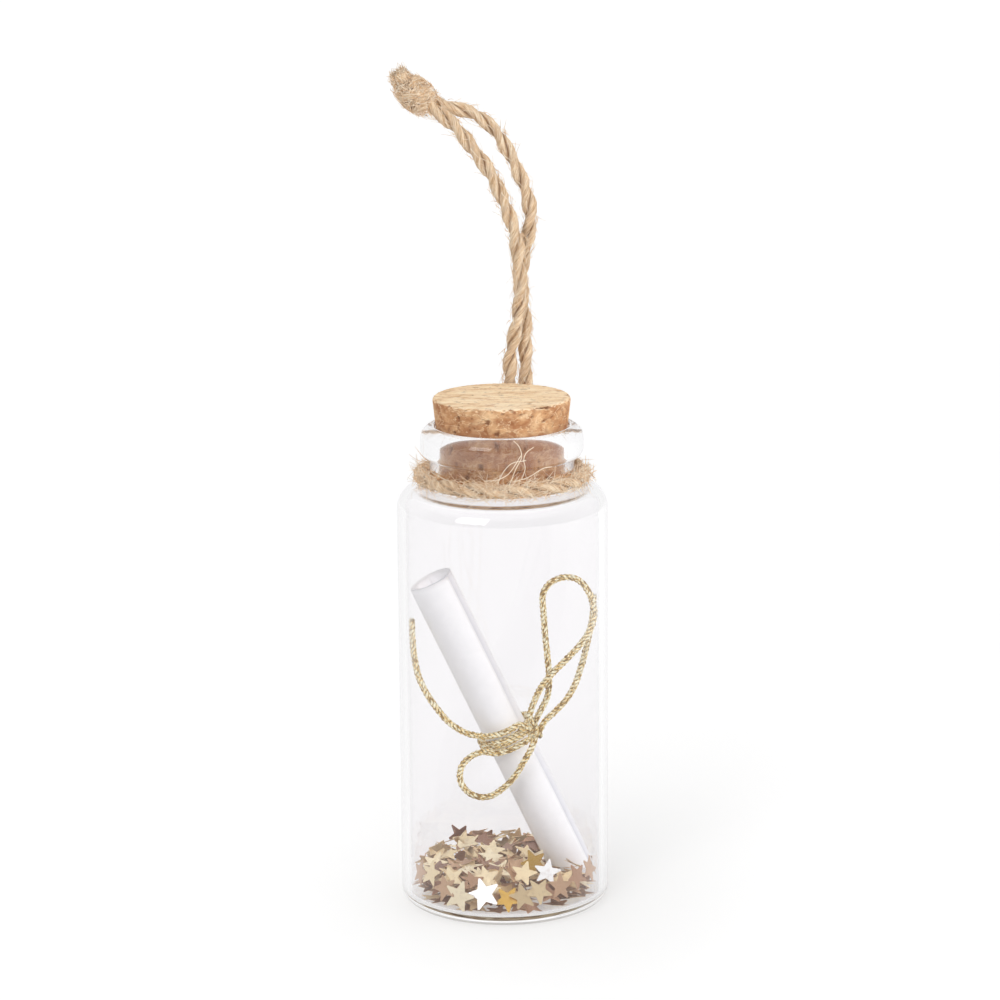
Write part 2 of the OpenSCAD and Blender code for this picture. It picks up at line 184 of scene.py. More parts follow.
class Draft:
    """Points and faces of one piece, gathered before its mesh is made."""

    def __init__(self) -> None:
        """Start with nothing drawn."""
        self.points: list[Vector] = []
        self.grain: list[tuple[float, float, float]] = []
        self.shade: list[float] = []
        self.faces: list[tuple[int, ...]] = []

    def point(self, spot: Vector, grain: Sequence[float] = (0, 0, 0), shade: float = 0.5) -> int:
        """Add a point with its place in the grain and its shade, and return its number."""
        self.points.append(spot)
        self.grain.append(tuple(grain))
        self.shade.append(shade)
        return len(self.points) - 1

    def skin(self, rings: Sequence[Sequence[int]], closed: bool = True) -> None:
        """Join rings of points into a skin, round each ring if it is closed."""
        for low, high in zip(rings, rings[1:]):
            count = len(low)
            for k in range(count if closed else count - 1):
                n = (k + 1) % count
                self.faces.append((low[k], low[n], high[n], high[k]))

    def tube(
        self,
        line: Line,
        radius: Callable[[float, float], float],
        sides: int = 12,
        seed: float = 0.0,
        twist: float = 0.0,
        shade: float | Callable[[int, Vector], float] = 0.5,
    ) -> None:
        """Draw a round strand along a line, with closed ends.

        Args:
            line: The strand's middle.
            radius: Radius, given the angle round the strand and the distance along it.
            sides: Number of points round the strand.
            seed: A number that sets this strand's grain apart from others.
            twist: Turns of the fibres per metre along the strand.
            shade: Shade that the finish reads, or how to find it for a point by spot i.
        """
        rings = []
        for i, mark in enumerate(line.marks):
            spot, _, u, v = line.frame_at(i)
            ring = []
            for k in range(sides):
                a = TURN * k / sides
                r = radius(a, mark)
                g = a + TURN * twist * mark
                place = spot + r * (math.cos(a) * u + math.sin(a) * v)
                tone = shade(i, place) if callable(shade) else shade
                ring.append(self.point(place, (math.cos(g) + seed * 7.3, math.sin(g) - seed * 3.1, mark / MM), tone))
            rings.append(ring)
        self.skin(rings)
        self.faces.append(tuple(reversed(rings[0])))
        self.faces.append(tuple(rings[-1]))

    def hair(self, spots: Sequence[Vector], radius: float, shade: float = 1.0) -> None:
        """Draw one fine fibre through a few spots, tapering to its tip."""
        line = Line(spots)
        last = max(line.length, 1e-9)
        self.tube(line, lambda a, m: radius * (1.0 - 0.6 * m / last), 3, shade, 0.0, shade)

    def lathe(self, outline: Sequence[tuple[float, float]], sides: int) -> None:
        """Turn an outline of radius and height about the upright axis."""
        rings = []
        for r, z in outline:
            if r < 1e-7:
                middle = self.point(Vector((0, 0, z)))
                rings.append([middle] * sides)
                continue
            rings.append(
                [
                    self.point(Vector((r * math.cos(TURN * k / sides), r * math.sin(TURN * k / sides), z)))
                    for k in range(sides)
                ]
            )
        for low, high in zip(rings, rings[1:]):
            for k in range(sides):
                n = (k + 1) % sides
                face = tuple(dict.fromkeys((low[k], low[n], high[n], high[k])))
                if len(face) > 2:
                    self.faces.append(face)

    def piece(self, name: str, material: bpy.types.Material, smooth: bool = True) -> bpy.types.Object:
        """Make the mesh and its object, and dress it in a material."""
        mesh = bpy.data.meshes.new(name)
        mesh.from_pydata([tuple(p) for p in self.points], [], self.faces)
        grain = mesh.attributes.new("grain", "FLOAT_VECTOR", "POINT")
        grain.data.foreach_set("vector", [c for g in self.grain for c in g])
        shade = mesh.attributes.new("shade", "FLOAT", "POINT")
        shade.data.foreach_set("value", self.shade)
        mesh.validate()
        mesh.polygons.foreach_set("use_smooth", [smooth] * len(mesh.polygons))
        mesh.update()
        obj = bpy.data.objects.new(name, mesh)
        bpy.context.scene.collection.objects.link(obj)
        obj.data.materials.append(material)
        LOG.info("%s: %d points", name, len(self.points))
        return obj


class Bench:
    """A node tree of a material or a world, laid out one node at a time."""

    def __init__(self, name: str, world: bool = False) -> None:
        """Start an empty material, or an empty world, of that name."""
        self.made = bpy.data.worlds.new(name) if world else bpy.data.materials.new(name)
        self.made.use_nodes = True
        self.tree = self.made.node_tree
        self.tree.nodes.clear()
        self.output = self.add("ShaderNodeOutputWorld" if world else "ShaderNodeOutputMaterial")

    def add(self, kind: str, inputs: dict | None = None, **settings: object) -> bpy.types.Node:
        """Add a node.

        Args:
            kind: Blender's name for the node.
            inputs: Values or other nodes' outputs for its inputs, by name or number.
            **settings: The node's own settings.

        Returns:
            The new node.
        """
        node = self.tree.nodes.new(kind)
        for key, value in settings.items():
            setattr(node, key, value)
        for key, value in (inputs or {}).items():
            if isinstance(value, bpy.types.NodeSocket):
                self.tree.links.new(value, node.inputs[key])
            else:
                node.inputs[key].default_value = value
        return node

    def reading(self, name: str) -> bpy.types.Node:
        """Read one of the piece's own attributes, "grain" or "shade"."""
        return self.add("ShaderNodeAttribute", attribute_name=name)

    def maths(self, operation: str, *values: object) -> bpy.types.NodeSocket:
        """Work out one number from others."""
        return self.add("ShaderNodeMath", dict(enumerate(values)), operation=operation).outputs[0]

    def most(self, *values: bpy.types.NodeSocket) -> bpy.types.NodeSocket:
        """The largest of some numbers."""
        found = values[0]
        for value in values[1:]:
            found = self.maths("MAXIMUM", found, value)
        return found

    def cloud(self, where: bpy.types.NodeSocket, scale: float, detail: float = 4.0, rough: float = 0.6):
        """Noise at a scale, from 0 to 1."""
        inputs = {"Vector": where, "Scale": scale, "Detail": detail, "Roughness": rough}
        return self.add("ShaderNodeTexNoise", inputs).outputs["Fac"]

    def stretch(self, where: bpy.types.NodeSocket, scale: Sequence[float], spot: Sequence[float] = (0, 0, 0)):
        """Coordinates stretched by a factor along each axis."""
        inputs = {"Vector": where, "Scale": tuple(scale), "Location": tuple(spot)}
        return self.add("ShaderNodeMapping", inputs).outputs[0]

    def ramp(self, factor: bpy.types.NodeSocket, stops: Sequence[tuple[float, object]]) -> bpy.types.NodeSocket:
        """Colours along a scale.

        Args:
            factor: The number that picks the colour.
            stops: Places from 0 to 1, each with a colour code or a grey value.

        Returns:
            The colour found.
        """
        node = self.add("ShaderNodeValToRGB", {"Fac": factor})
        while len(node.color_ramp.elements) < len(stops):
            node.color_ramp.elements.new(0.5)
        for element, (place, colour) in zip(node.color_ramp.elements, stops):
            element.position = place
            element.color = srgb(colour) if isinstance(colour, str) else (colour, colour, colour, 1)
        return node.outputs["Color"]

    def blend(self, factor: object, one: object, other: object, how: str = "MIX") -> bpy.types.NodeSocket:
        """Mix two colours, each a colour code, a grey value or another node's output."""
        node = self.add("ShaderNodeMix", data_type="RGBA", blend_type=how)
        for key, value in ((0, factor), (6, one), (7, other)):
            if isinstance(value, bpy.types.NodeSocket):
                self.tree.links.new(value, node.inputs[key])
            elif key:
                node.inputs[key].default_value = srgb(value) if isinstance(value, str) else (value, value, value, 1)
            else:
                node.inputs[key].default_value = value
        return node.outputs[2]

    def bump(self, height: bpy.types.NodeSocket, depth: float, strength: float = 1.0) -> bpy.types.NodeSocket:
        """Relief of a depth in metres."""
        inputs = {"Height": height, "Distance": depth, "Strength": strength}
        return self.add("ShaderNodeBump", inputs).outputs[0]

    def finish(self, shader: bpy.types.NodeSocket) -> bpy.types.ID:
        """Send a shader to the surface and return the material or world."""
        self.tree.links.new(shader, self.output.inputs["Surface"])
        return self.made


# ---------------------------------------------------------------- finishes


@dataclass(frozen=True)
class ClearGlass:
    """Flint glass, clear and fire polished, that lets lamps through, its colour greyed towards the silhouette as
    painted shade.
    """

    tint: str = "FBFAFB"
    painted_edge_shade: str = "A19FA4"
    ior: float = 1.48

    def material(self) -> bpy.types.Material:
        """Make the glass."""
        bench = Bench("clear_glass")
        # painted shade: the glass's colour greys towards its silhouette, standing in for the darker surroundings seen
        # through it there
        facing = bench.add("ShaderNodeLayerWeight", {"Blend": 0.35}).outputs["Facing"]
        tint = bench.ramp(facing, [(0.0, self.tint), (0.55, self.tint), (0.72, "EDEBEE"), (0.88, "CFCDD1"), (1.0, self.painted_edge_shade)])
        glass = bench.add(
            "ShaderNodeBsdfPrincipled",
            {"Base Color": tint, "Roughness": 0.0, "IOR": self.ior, "Transmission Weight": 1.0},
        )
        clear = bench.add("ShaderNodeBsdfTransparent", {"Color": srgb("F6F6F6")})
        rays = bench.add("ShaderNodeLightPath").outputs
        straight = bench.most(rays["Is Shadow Ray"], rays["Is Reflection Ray"])
        mixed = bench.add("ShaderNodeMixShader", {0: straight, 1: glass.outputs[0], 2: clear.outputs[0]})
        return bench.finish(mixed.outputs[0])


@dataclass(frozen=True)
class CutCork:
    """Natural cork, cut across its growth lines, with brown pits, and painted shade low on it where it sits in the
    neck.
    """

    pale: str = "F0D3AC"
    tan: str = "DBAE82"
    brown: str = "B07C56"
    pit: str = "6E4530"

    def material(self) -> bpy.types.Material:
        """Make the cork."""
        bench = Bench("cut_cork")
        where = bench.add("ShaderNodeTexCoord").outputs["Object"]
        up = bench.add("ShaderNodeSeparateXYZ", {0: bench.add("ShaderNodeNewGeometry").outputs["Normal"]})
        top = bench.ramp(up.outputs["Z"], [(0.35, 0.0), (0.75, 1.0)])
        lines = bench.cloud(bench.stretch(where, (210, 1000, 900)), 1.0, 7.0, 0.75)
        face = bench.ramp(lines, [(0.28, "CFA27A"), (0.40, "E6BF94"), (0.50, "F9DEB8"), (0.60, "FFEACB"), (0.74, "F0CAA2")])
        flecks = bench.cloud(bench.stretch(where, (420, 1100, 900), (2, 0, 5)), 1.0, 4.0, 0.75)
        face = bench.blend(bench.ramp(flecks, [(0.57, 0.0), (0.68, 0.55)]), face, "B87C58")
        crumbs = bench.add(
            "ShaderNodeTexVoronoi",
            {
                "Vector": bench.blend(0.0022, where, bench.add("ShaderNodeTexNoise", {"Vector": where, "Scale": 500.0}).outputs["Color"]),
                "Scale": 620.0,
                "Randomness": 1.0,
            },
        )
        tones = bench.add("ShaderNodeSeparateColor", {0: crumbs.outputs["Color"]}).outputs[0]
        patches = bench.ramp(tones, [(0.0, self.brown), (0.3, "C6946A"), (0.6, self.tan), (1.0, "E3BC90")])
        lumps = bench.cloud(bench.stretch(where, (300, 300, 620)), 1.0, 5.0, 0.65)
        side = bench.ramp(lumps, [(0.34, "7E4D33"), (0.43, "AD7850"), (0.53, "CB9A6E"), (0.64, "EFCDA2")])
        side = bench.blend(0.45, side, patches)
        seams = bench.ramp(crumbs.outputs["Distance"], [(0.35, 0.0), (0.75, 0.5)])
        side = bench.blend(seams, side, "9A6242")
        waves = bench.cloud(bench.stretch(where, (420, 420, 800), (4, 4, 1)), 1.0, 3.0, 0.55)
        waves = bench.maths("ABSOLUTE", bench.maths("SUBTRACT", waves, 0.5))
        side = bench.blend(bench.ramp(waves, [(0.0, 0.55), (0.022, 0.0)]), side, "F8DDB6")
        body = bench.blend(top, side, face)
        # painted shade: held is a darker band low on the cork, where it sits inside the glass neck
        height = bench.add("ShaderNodeSeparateXYZ", {0: where}).outputs["Z"]
        held = bench.ramp(bench.maths("MULTIPLY_ADD", height, 83.3, -5.0), [(0.3, 0.0), (0.6, 0.5), (0.8, 0.5), (0.9, 0.0)])
        body = bench.blend(held, body, "8A5A40")
        speck = bench.cloud(bench.stretch(where, (900, 900, 1200), (3, 1, 2)), 1.0, 3.0, 0.7)
        specks = bench.ramp(speck, [(0.60, 0.0), (0.70, 0.6)])
        body = bench.blend(specks, body, "85533A")
        body = bench.blend(bench.reading("shade").outputs["Fac"], body, self.pit)
        height = bench.blend(0.5, bench.cloud(where, 2200.0, 4.0, 0.7), lumps)
        cork = bench.add(
            "ShaderNodeBsdfPrincipled",
            {
                "Base Color": body,
                "Roughness": 0.85,
                "Specular IOR Level": 0.25,
                "Normal": bench.bump(height, 0.00025, 0.9),
            },
        )
        return bench.finish(cork.outputs[0])


@dataclass(frozen=True)
class JuteYarn:
    """Jute spun into a ply: long pale fibres with darker ones among them, and painted shade in the grooves between
    plies.
    """

    pale: str = "F3DBBB"
    tan: str = "DFBC93"
    # brown is the painted shade of the grooves between the plies
    brown: str = "87603F"

    def material(self) -> bpy.types.Material:
        """Make the yarn."""
        bench = Bench("jute_yarn")
        grain = bench.reading("grain").outputs["Vector"]
        fibres = bench.cloud(bench.stretch(grain, (5.0, 5.0, 0.7)), 1.0, 5.0, 0.75)
        patches = bench.cloud(bench.stretch(grain, (1.3, 1.3, 0.4)), 1.0, 2.0, 0.5)
        body = bench.ramp(fibres, [(0.34, "7F5638"), (0.43, self.tan), (0.53, self.pale), (0.64, "FFF3DF")])
        body = bench.blend(bench.ramp(patches, [(0.38, 0.5), (0.6, 0.0)]), body, "B58F6C")
        # painted shade: the yarn turns brown in the grooves between the plies, by the shade reading
        body = bench.blend(bench.reading("shade").outputs["Fac"], self.brown, body)
        yarn = bench.add(
            "ShaderNodeBsdfPrincipled",
            {
                "Base Color": body,
                "Roughness": 0.8,
                "Specular IOR Level": 0.2,
                "Sheen Weight": 0.2,
                "Sheen Roughness": 0.5,
                "Normal": bench.bump(fibres, 0.00022, 1.0),
            },
        )
        return bench.finish(yarn.outputs[0])


@dataclass(frozen=True)
class JuteFibre:
    """Single loose jute fibres, pale and fine."""

    pale: str = "FFF6E4"
    tan: str = "DDB281"

    def material(self) -> bpy.types.Material:
        """Make the loose fibres."""
        bench = Bench("jute_fibre")
        shade = bench.reading("shade").outputs["Fac"]
        grain = bench.reading("grain").outputs["Vector"]
        tone = bench.ramp(shade, [(0.0, self.tan), (1.0, self.pale)])
        dull = bench.ramp(bench.cloud(grain, 2.5, 2.0), [(0.4, 0.25), (0.6, 0.0)])
        fibre = bench.add(
            "ShaderNodeBsdfPrincipled",
            {"Base Color": bench.blend(dull, tone, "C99F72"), "Roughness": 0.6, "Specular IOR Level": 0.4},
        )
        return bench.finish(fibre.outputs[0])


@dataclass(frozen=True)
class WritingPaper:
    """Smooth white writing paper, with painted shade beside the sheet's lifted loose end."""

    white: str = "F6F5F7"

    def material(self) -> bpy.types.Material:
        """Make the paper."""
        bench = Bench("writing_paper")
        where = bench.add("ShaderNodeTexCoord").outputs["Object"]
        pulp = bench.ramp(bench.cloud(where, 900.0, 5.0, 0.7), [(0.3, "F1F0F2"), (0.7, self.white)])
        # painted shade: the paper greys on the layer beside the sheet's lifted loose end, by the shade reading
        under = bench.maths("MULTIPLY", bench.reading("shade").outputs["Fac"], 0.5)
        paper = bench.add(
            "ShaderNodeBsdfPrincipled",
            {
                "Base Color": bench.blend(under, pulp, "BFC0CE"),
                "Roughness": 0.8,
                "Specular IOR Level": 0.3,
                "Normal": bench.bump(bench.cloud(where, 3500.0, 2.0), 0.00001, 0.5),
            },
        )
        return bench.finish(paper.outputs[0])


@dataclass(frozen=True)
class GoldThread:
    """Metallised thread laid into a cord, its colour holding painted glints and painted dark reflections, and painted
    shade in the grooves between the threads.
    """

    painted_glint: str = "FFF8D8"
    gold: str = "FFDD8E"
    painted_dark_fleck: str = "94702F"

    def material(self) -> bpy.types.Material:
        """Make the thread."""
        bench = Bench("gold_thread")
        grain = bench.reading("grain").outputs["Vector"]
        # painted highlight and reflection: patches of this noise turn pale as glints or dark as reflected shade
        foil = bench.cloud(bench.stretch(grain, (0.9, 0.9, 1.7)), 1.0, 2.0, 0.5)
        body = bench.ramp(foil, [(0.42, self.painted_dark_fleck), (0.455, "DDB460"), (0.49, self.gold), (0.53, self.painted_glint)])
        # painted shade: darker in the grooves between the threads, by the shade reading
        body = bench.blend(bench.reading("shade").outputs["Fac"], "8A6F3A", body)
        thread = bench.add(
            "ShaderNodeBsdfPrincipled",
            {
                "Base Color": body,
                "Metallic": 0.3,
                "Roughness": bench.ramp(foil, [(0.4, 0.4), (0.6, 0.2)]),
                "Normal": bench.bump(foil, 0.0002, 0.9),
            },
        )
        return bench.finish(thread.outputs[0])


@dataclass(frozen=True)
class StarFoil:
    """Foil, matt gold in front and brown behind, a few stars amber, and a few white ones whose colour is a painted
    reflection of the light above.
    """

    def material(self) -> bpy.types.Material:
        """Make the foil."""
        bench = Bench("star_foil")
        shade = bench.reading("shade").outputs["Fac"]
        where = bench.add("ShaderNodeTexCoord").outputs["Object"]
        wear = bench.cloud(where, 1500.0, 3.0, 0.6)
        # shades up to 0.36 are the brown backs, 0.42 to 0.80 the gold fronts, 0.90 amber, and 0.98 white, a painted
        # reflection kept almost non-metallic
        body = bench.ramp(
            shade,
            [(0.0, "88604E"), (0.18, "B0856A"), (0.36, "D8B391"), (0.42, "E6CB9F"),
             (0.62, "F8E4BC"), (0.80, "FFF3D6"), (0.90, "E2B34E"), (0.98, "FFFFFF")],
        )  # fmt: skip
        foil = bench.add(
            "ShaderNodeBsdfPrincipled",
            {
                "Base Color": bench.blend(bench.ramp(wear, [(0.5, 0.0), (0.8, 0.3)]), body, "A07A5C"),
                "Metallic": bench.ramp(shade, [(0.5, 0.65), (0.8, 0.45), (0.9, 0.6), (0.98, 0.1)]),
                "Roughness": bench.ramp(shade, [(0.0, 0.28), (0.4, 0.42), (0.8, 0.4), (0.9, 0.2)]),
                "Normal": bench.bump(wear, 0.00002, 0.4),
            },
        )
        return bench.finish(foil.outputs[0])


# ---------------------------------------------------------------- camera and studio


@dataclass
class Viewpoint:
    """The camera, at the photograph's place and angle."""

    back: float = 0.5109
    height: float = 0.1772
    pitch: float = 13.03
    yaw: float = 0.037
    roll: float = -0.456
    lens: float = 132.84

    def build(self) -> None:
        """Make the camera and give it to the scene."""
        data = bpy.data.cameras.new("viewpoint")
        data.lens, data.sensor_width = self.lens, 36.0
        data.clip_start, data.clip_end = 0.01, 20.0
        camera = bpy.data.objects.new("viewpoint", data)
        bpy.context.scene.collection.objects.link(camera)
        turn = (
            Matrix.Rotation(math.radians(self.yaw), 4, "Z")
            @ Matrix.Rotation(math.radians(90 - self.pitch), 4, "X")
            @ Matrix.Rotation(math.radians(self.roll), 4, "Z")
        )
        camera.matrix_world = Matrix.Translation((0, -self.back, self.height)) @ turn
        bpy.context.scene.camera = camera


@dataclass
class Studio:
    """A white floor, a white room that is dim in front, and three soft lamps."""

    floor_size: float = 6.0
    world_level: float = 0.60
    front_level: float = 0.2
    floor_share: float = 0.60
    glow_near: float = 0.46
    glow_far: float = 0.69
    painted_shadow_pool: float = 0.09

    def build(self) -> None:
        """Lay the floor, hang the lamps and set the world."""
        bpy.context.scene.view_settings.view_transform = "Standard"
        self._world()
        self._floor()
        self._lamp("key_lamp", (-0.38, -0.60, 0.42), 0.40, 2.2)
        self._lamp("top_lamp", (0.02, 0.10, 0.85), 0.60, 0.7)
        side = self._lamp("side_lamp", (0.56, -0.28, 0.22), 0.30, 2.3)
        side.data.use_shadow, side.visible_glossy = False, False

    def _world(self) -> None:
        """White for the camera and through glass, dim in front for metal, and plain light for the rest."""
        bench = Bench("pale_room", world=True)
        rays = bench.add("ShaderNodeLightPath").outputs
        way = bench.add("ShaderNodeSeparateXYZ", {0: bench.add("ShaderNodeTexCoord").outputs["Generated"]}).outputs
        ahead = bench.maths("MULTIPLY_ADD", way["Y"], 0.5, 0.5)
        ahead = bench.ramp(ahead, [(0.0, self.front_level), (0.30, 0.35), (0.6, 1.0)])
        above = bench.ramp(way["Z"], [(0.45, 0.0), (0.7, 1.0)])
        seen = bench.most(rays["Is Camera Ray"], rays["Is Transmission Ray"])
        bent = bench.maths("MULTIPLY_ADD", way["Y"], 0.5, 0.5)
        bent = bench.ramp(bent, [(0.0, 0.45), (0.30, 0.62), (0.60, 1.0)])
        plain = bench.blend(seen, self.world_level, bent)
        mirrored = bench.maths("MULTIPLY", rays["Is Glossy Ray"], rays["Is Reflection Ray"])
        level = bench.blend(mirrored, plain, bench.most(ahead, above))
        light = bench.add("ShaderNodeBackground", {"Color": level, "Strength": 1.0})
        bpy.context.scene.world = bench.finish(light.outputs[0])

    def _floor(self) -> None:
        """A white floor that keeps the bottle's shadow, with a painted shadow beside its foot, and is as white far away
        as near.
        """
        half = self.floor_size / 2
        draft = Draft()
        corners = [draft.point(Vector((x * half, y * half, 0))) for x, y in ((-1, -1), (1, -1), (1, 1), (-1, 1))]
        draft.faces.append(tuple(corners))
        bench = Bench("white_floor")
        where = bench.add("ShaderNodeTexCoord").outputs["Object"]
        far = bench.add("ShaderNodeVectorMath", {0: where}, operation="LENGTH").outputs["Value"]
        spread = bench.maths("MULTIPLY_ADD", bench.maths("POWER", far, 2.0), 1 / 0.8**2, 1.0)
        near = bench.maths("POWER", spread, -2.0)
        glow = bench.maths("MULTIPLY_ADD", near, self.glow_near - self.glow_far, self.glow_far)
        # painted shadow: the glow dims in a soft oval a little right of the bottle's foot
        painted_shadow_pool = bench.add("ShaderNodeVectorMath", {0: bench.stretch(where, (29, 15, 0), (-0.3, 0, 0))}, operation="LENGTH")
        painted_shadow_pool = bench.maths("POWER", 2.718, bench.maths("MULTIPLY", bench.maths("POWER", painted_shadow_pool.outputs["Value"], 2.0), -1.0))
        glow = bench.maths("MULTIPLY_ADD", painted_shadow_pool, -self.painted_shadow_pool, glow)
        share = (self.floor_share,) * 3 + (1,)
        seen_matt = bench.add("ShaderNodeBsdfDiffuse", {"Color": share})
        seen_glow = bench.add("ShaderNodeEmission", {"Strength": glow})
        lit = bench.add("ShaderNodeAddShader", {0: seen_matt.outputs[0], 1: seen_glow.outputs[0]})
        matt = bench.add("ShaderNodeBsdfDiffuse", {"Color": (0.8, 0.8, 0.8, 1)})
        rays = bench.add("ShaderNodeLightPath").outputs
        seen = bench.most(rays["Is Camera Ray"], rays["Is Glossy Ray"], rays["Is Transmission Ray"])
        mixed = bench.add("ShaderNodeMixShader", {0: seen, 1: matt.outputs[0], 2: lit.outputs[0]})
        draft.piece("studio_floor", bench.finish(mixed.outputs[0]), smooth=False)

    @staticmethod
    def _lamp(name: str, spot: tuple[float, float, float], size: float, power: float) -> bpy.types.Object:
        """Hang a square soft lamp that faces the bottle."""
        data = bpy.data.lights.new(name, "AREA")
        data.size, data.energy = size, power
        lamp = bpy.data.objects.new(name, data)
        lamp.location = spot
        lamp.rotation_euler = (Vector((0, 0, 0.05)) - Vector(spot)).to_track_quat("-Z", "Y").to_euler()
        lamp.visible_camera = False
        bpy.context.scene.collection.objects.link(lamp)
        return lamp


# ---------------------------------------------------------------- jute twine


class Lie(Enum):
    """How the loose fibres of a stretch of twine lie."""

    CLOSE = 0.35
    HAIRY = 0.9


@dataclass
class JuteTwine:
    """Two-ply jute twine, with its spinner's lay and loose fibres."""

    diameter: float = 2.1 * MM
    lay: float = 8.6 * MM
    step: float = 0.24 * MM
    fibre_width: float = 0.055 * MM
    ply_share: float = 0.30
    apart: float = 0.195

    def plies(self, draft: Draft, line: Line, phase: float, seed: float, squeeze: float = 1.0) -> None:
        """Draw the two plies of a stretch of twine.

        Args:
            draft: The piece that they are drawn into.
            line: The twine's middle.
            phase: Angle of the first ply at the start.
            seed: A number that sets this stretch apart from others.
            squeeze: How wide the twine is, as a part of its full width.
        """
        wide = self.diameter * squeeze
        # painted shade reading for the grooves between the plies
        tone = groove_shade(line, wide, 0.23, 0.36)

        def offset(mark: float) -> float:
            drift = noise.noise(Vector((mark / MM * 0.35, seed, 4.0)))
            return (self.apart + 0.04 * drift) * wide

        for side in (0, 1):
            ply = line.strand(offset, self.lay, phase + math.pi * side)
            place = seed + side * 5.7

            def radius(a: float, mark: float, place: float = place) -> float:
                s = mark / MM
                slub = noise.noise(Vector((s * 0.22, place, 1.0)))
                turn = a - s * 0.9
                rope = noise.noise(Vector((math.cos(turn) * 1.5, math.sin(turn) * 1.5 + place, s * 0.35)))
                fine = noise.noise(Vector((math.cos(turn) * 5.0, math.sin(turn) * 5.0 + place, s * 0.9)))
                return self.ply_share * wide * (1.0 + 0.14 * slub + 0.17 * rope + 0.12 * fine)

            draft.tube(ply, radius, 26, place, -0.9 / TURN / MM, tone)

    def fuzz(self, draft: Draft, line: Line, per_mm: float, reach: float, seed: int, lie: Lie = Lie.CLOSE) -> None:
        """Draw the loose fibres that stand off a stretch of twine.

        Args:
            draft: The piece that they are drawn into.
            line: The twine's middle.
            per_mm: Number of fibres for each millimetre of twine.
            reach: Usual length of a fibre.
            seed: Start of this stretch's own row of random numbers.
            lie: How far the fibres stand off.
        """
        dice = random.Random(seed)
        count = round(line.length / MM * per_mm)
        for _ in range(count):
            i = dice.randrange(2, len(line.spots) - 2)
            spot, head, u, v = line.frame_at(i)
            a = dice.uniform(0, TURN)
            out = math.cos(a) * u + math.sin(a) * v
            along = head * dice.choice((-1, 1))
            length = reach * dice.uniform(0.35, 1.5)
            way = along + out * dice.uniform(0.0, 1.0) * lie.value + out.cross(head) * dice.uniform(-0.7, 0.7)
            way.normalize()
            curl = Vector([dice.uniform(-1, 1) for _ in range(3)])
            curl = (curl - way * curl.dot(way)) * dice.uniform(0.15, 0.7)
            root = spot + out * self.diameter * 0.44
            spots = [
                root + way * length * t + curl * length * t * t + out * self.diameter * 0.06 * math.sin(3 * t)
                for t in (0, 0.2, 0.4, 0.6, 0.8, 1.0)
            ]
            draft.hair(spots, self.fibre_width * dice.uniform(0.5, 1.2), dice.random())


LEG_LEFT = millimetres([
    (1.2, 12.9, 64.9), (1.2, 12.9, 69.2), (1.2, 12.8, 73.4), (1.3, 12.5, 77.4), (2, 12.1, 81),
    (2.6, 11.8, 84.7), (2.9, 11.7, 87.8), (2.5, 11.7, 91), (2.3, 11.7, 94.4), (1.3, 11.7, 97.9),
    (0.1, 11.7, 101), (-1.3, 11.7, 104), (-3.4, 11.7, 107), (-5.4, 11.7, 109.8), (-7.6, 11.7, 112),
    (-10.3, 11.8, 114),
])  # fmt: skip
LEG_RIGHT = millimetres([
    (3.4, 12.9, 64.9), (3.5, 12.9, 69.2), (3.5, 13, 73.4), (3.5, 13.3, 77.4), (3.5, 13.8, 81),
    (3.2, 14, 84.7), (2.9, 14.1, 87.8), (3.2, 14.1, 91.2), (4, 14.1, 94.6), (4.3, 14.1, 98),
    (3.7, 14.1, 101.2), (2.6, 14.1, 104), (1.1, 14.1, 107.2), (-1, 14.1, 110.2),
    (-3.6, 14.1, 112.2), (-6.7, 14, 113.2), (-10.3, 14, 114.1),
])  # fmt: skip


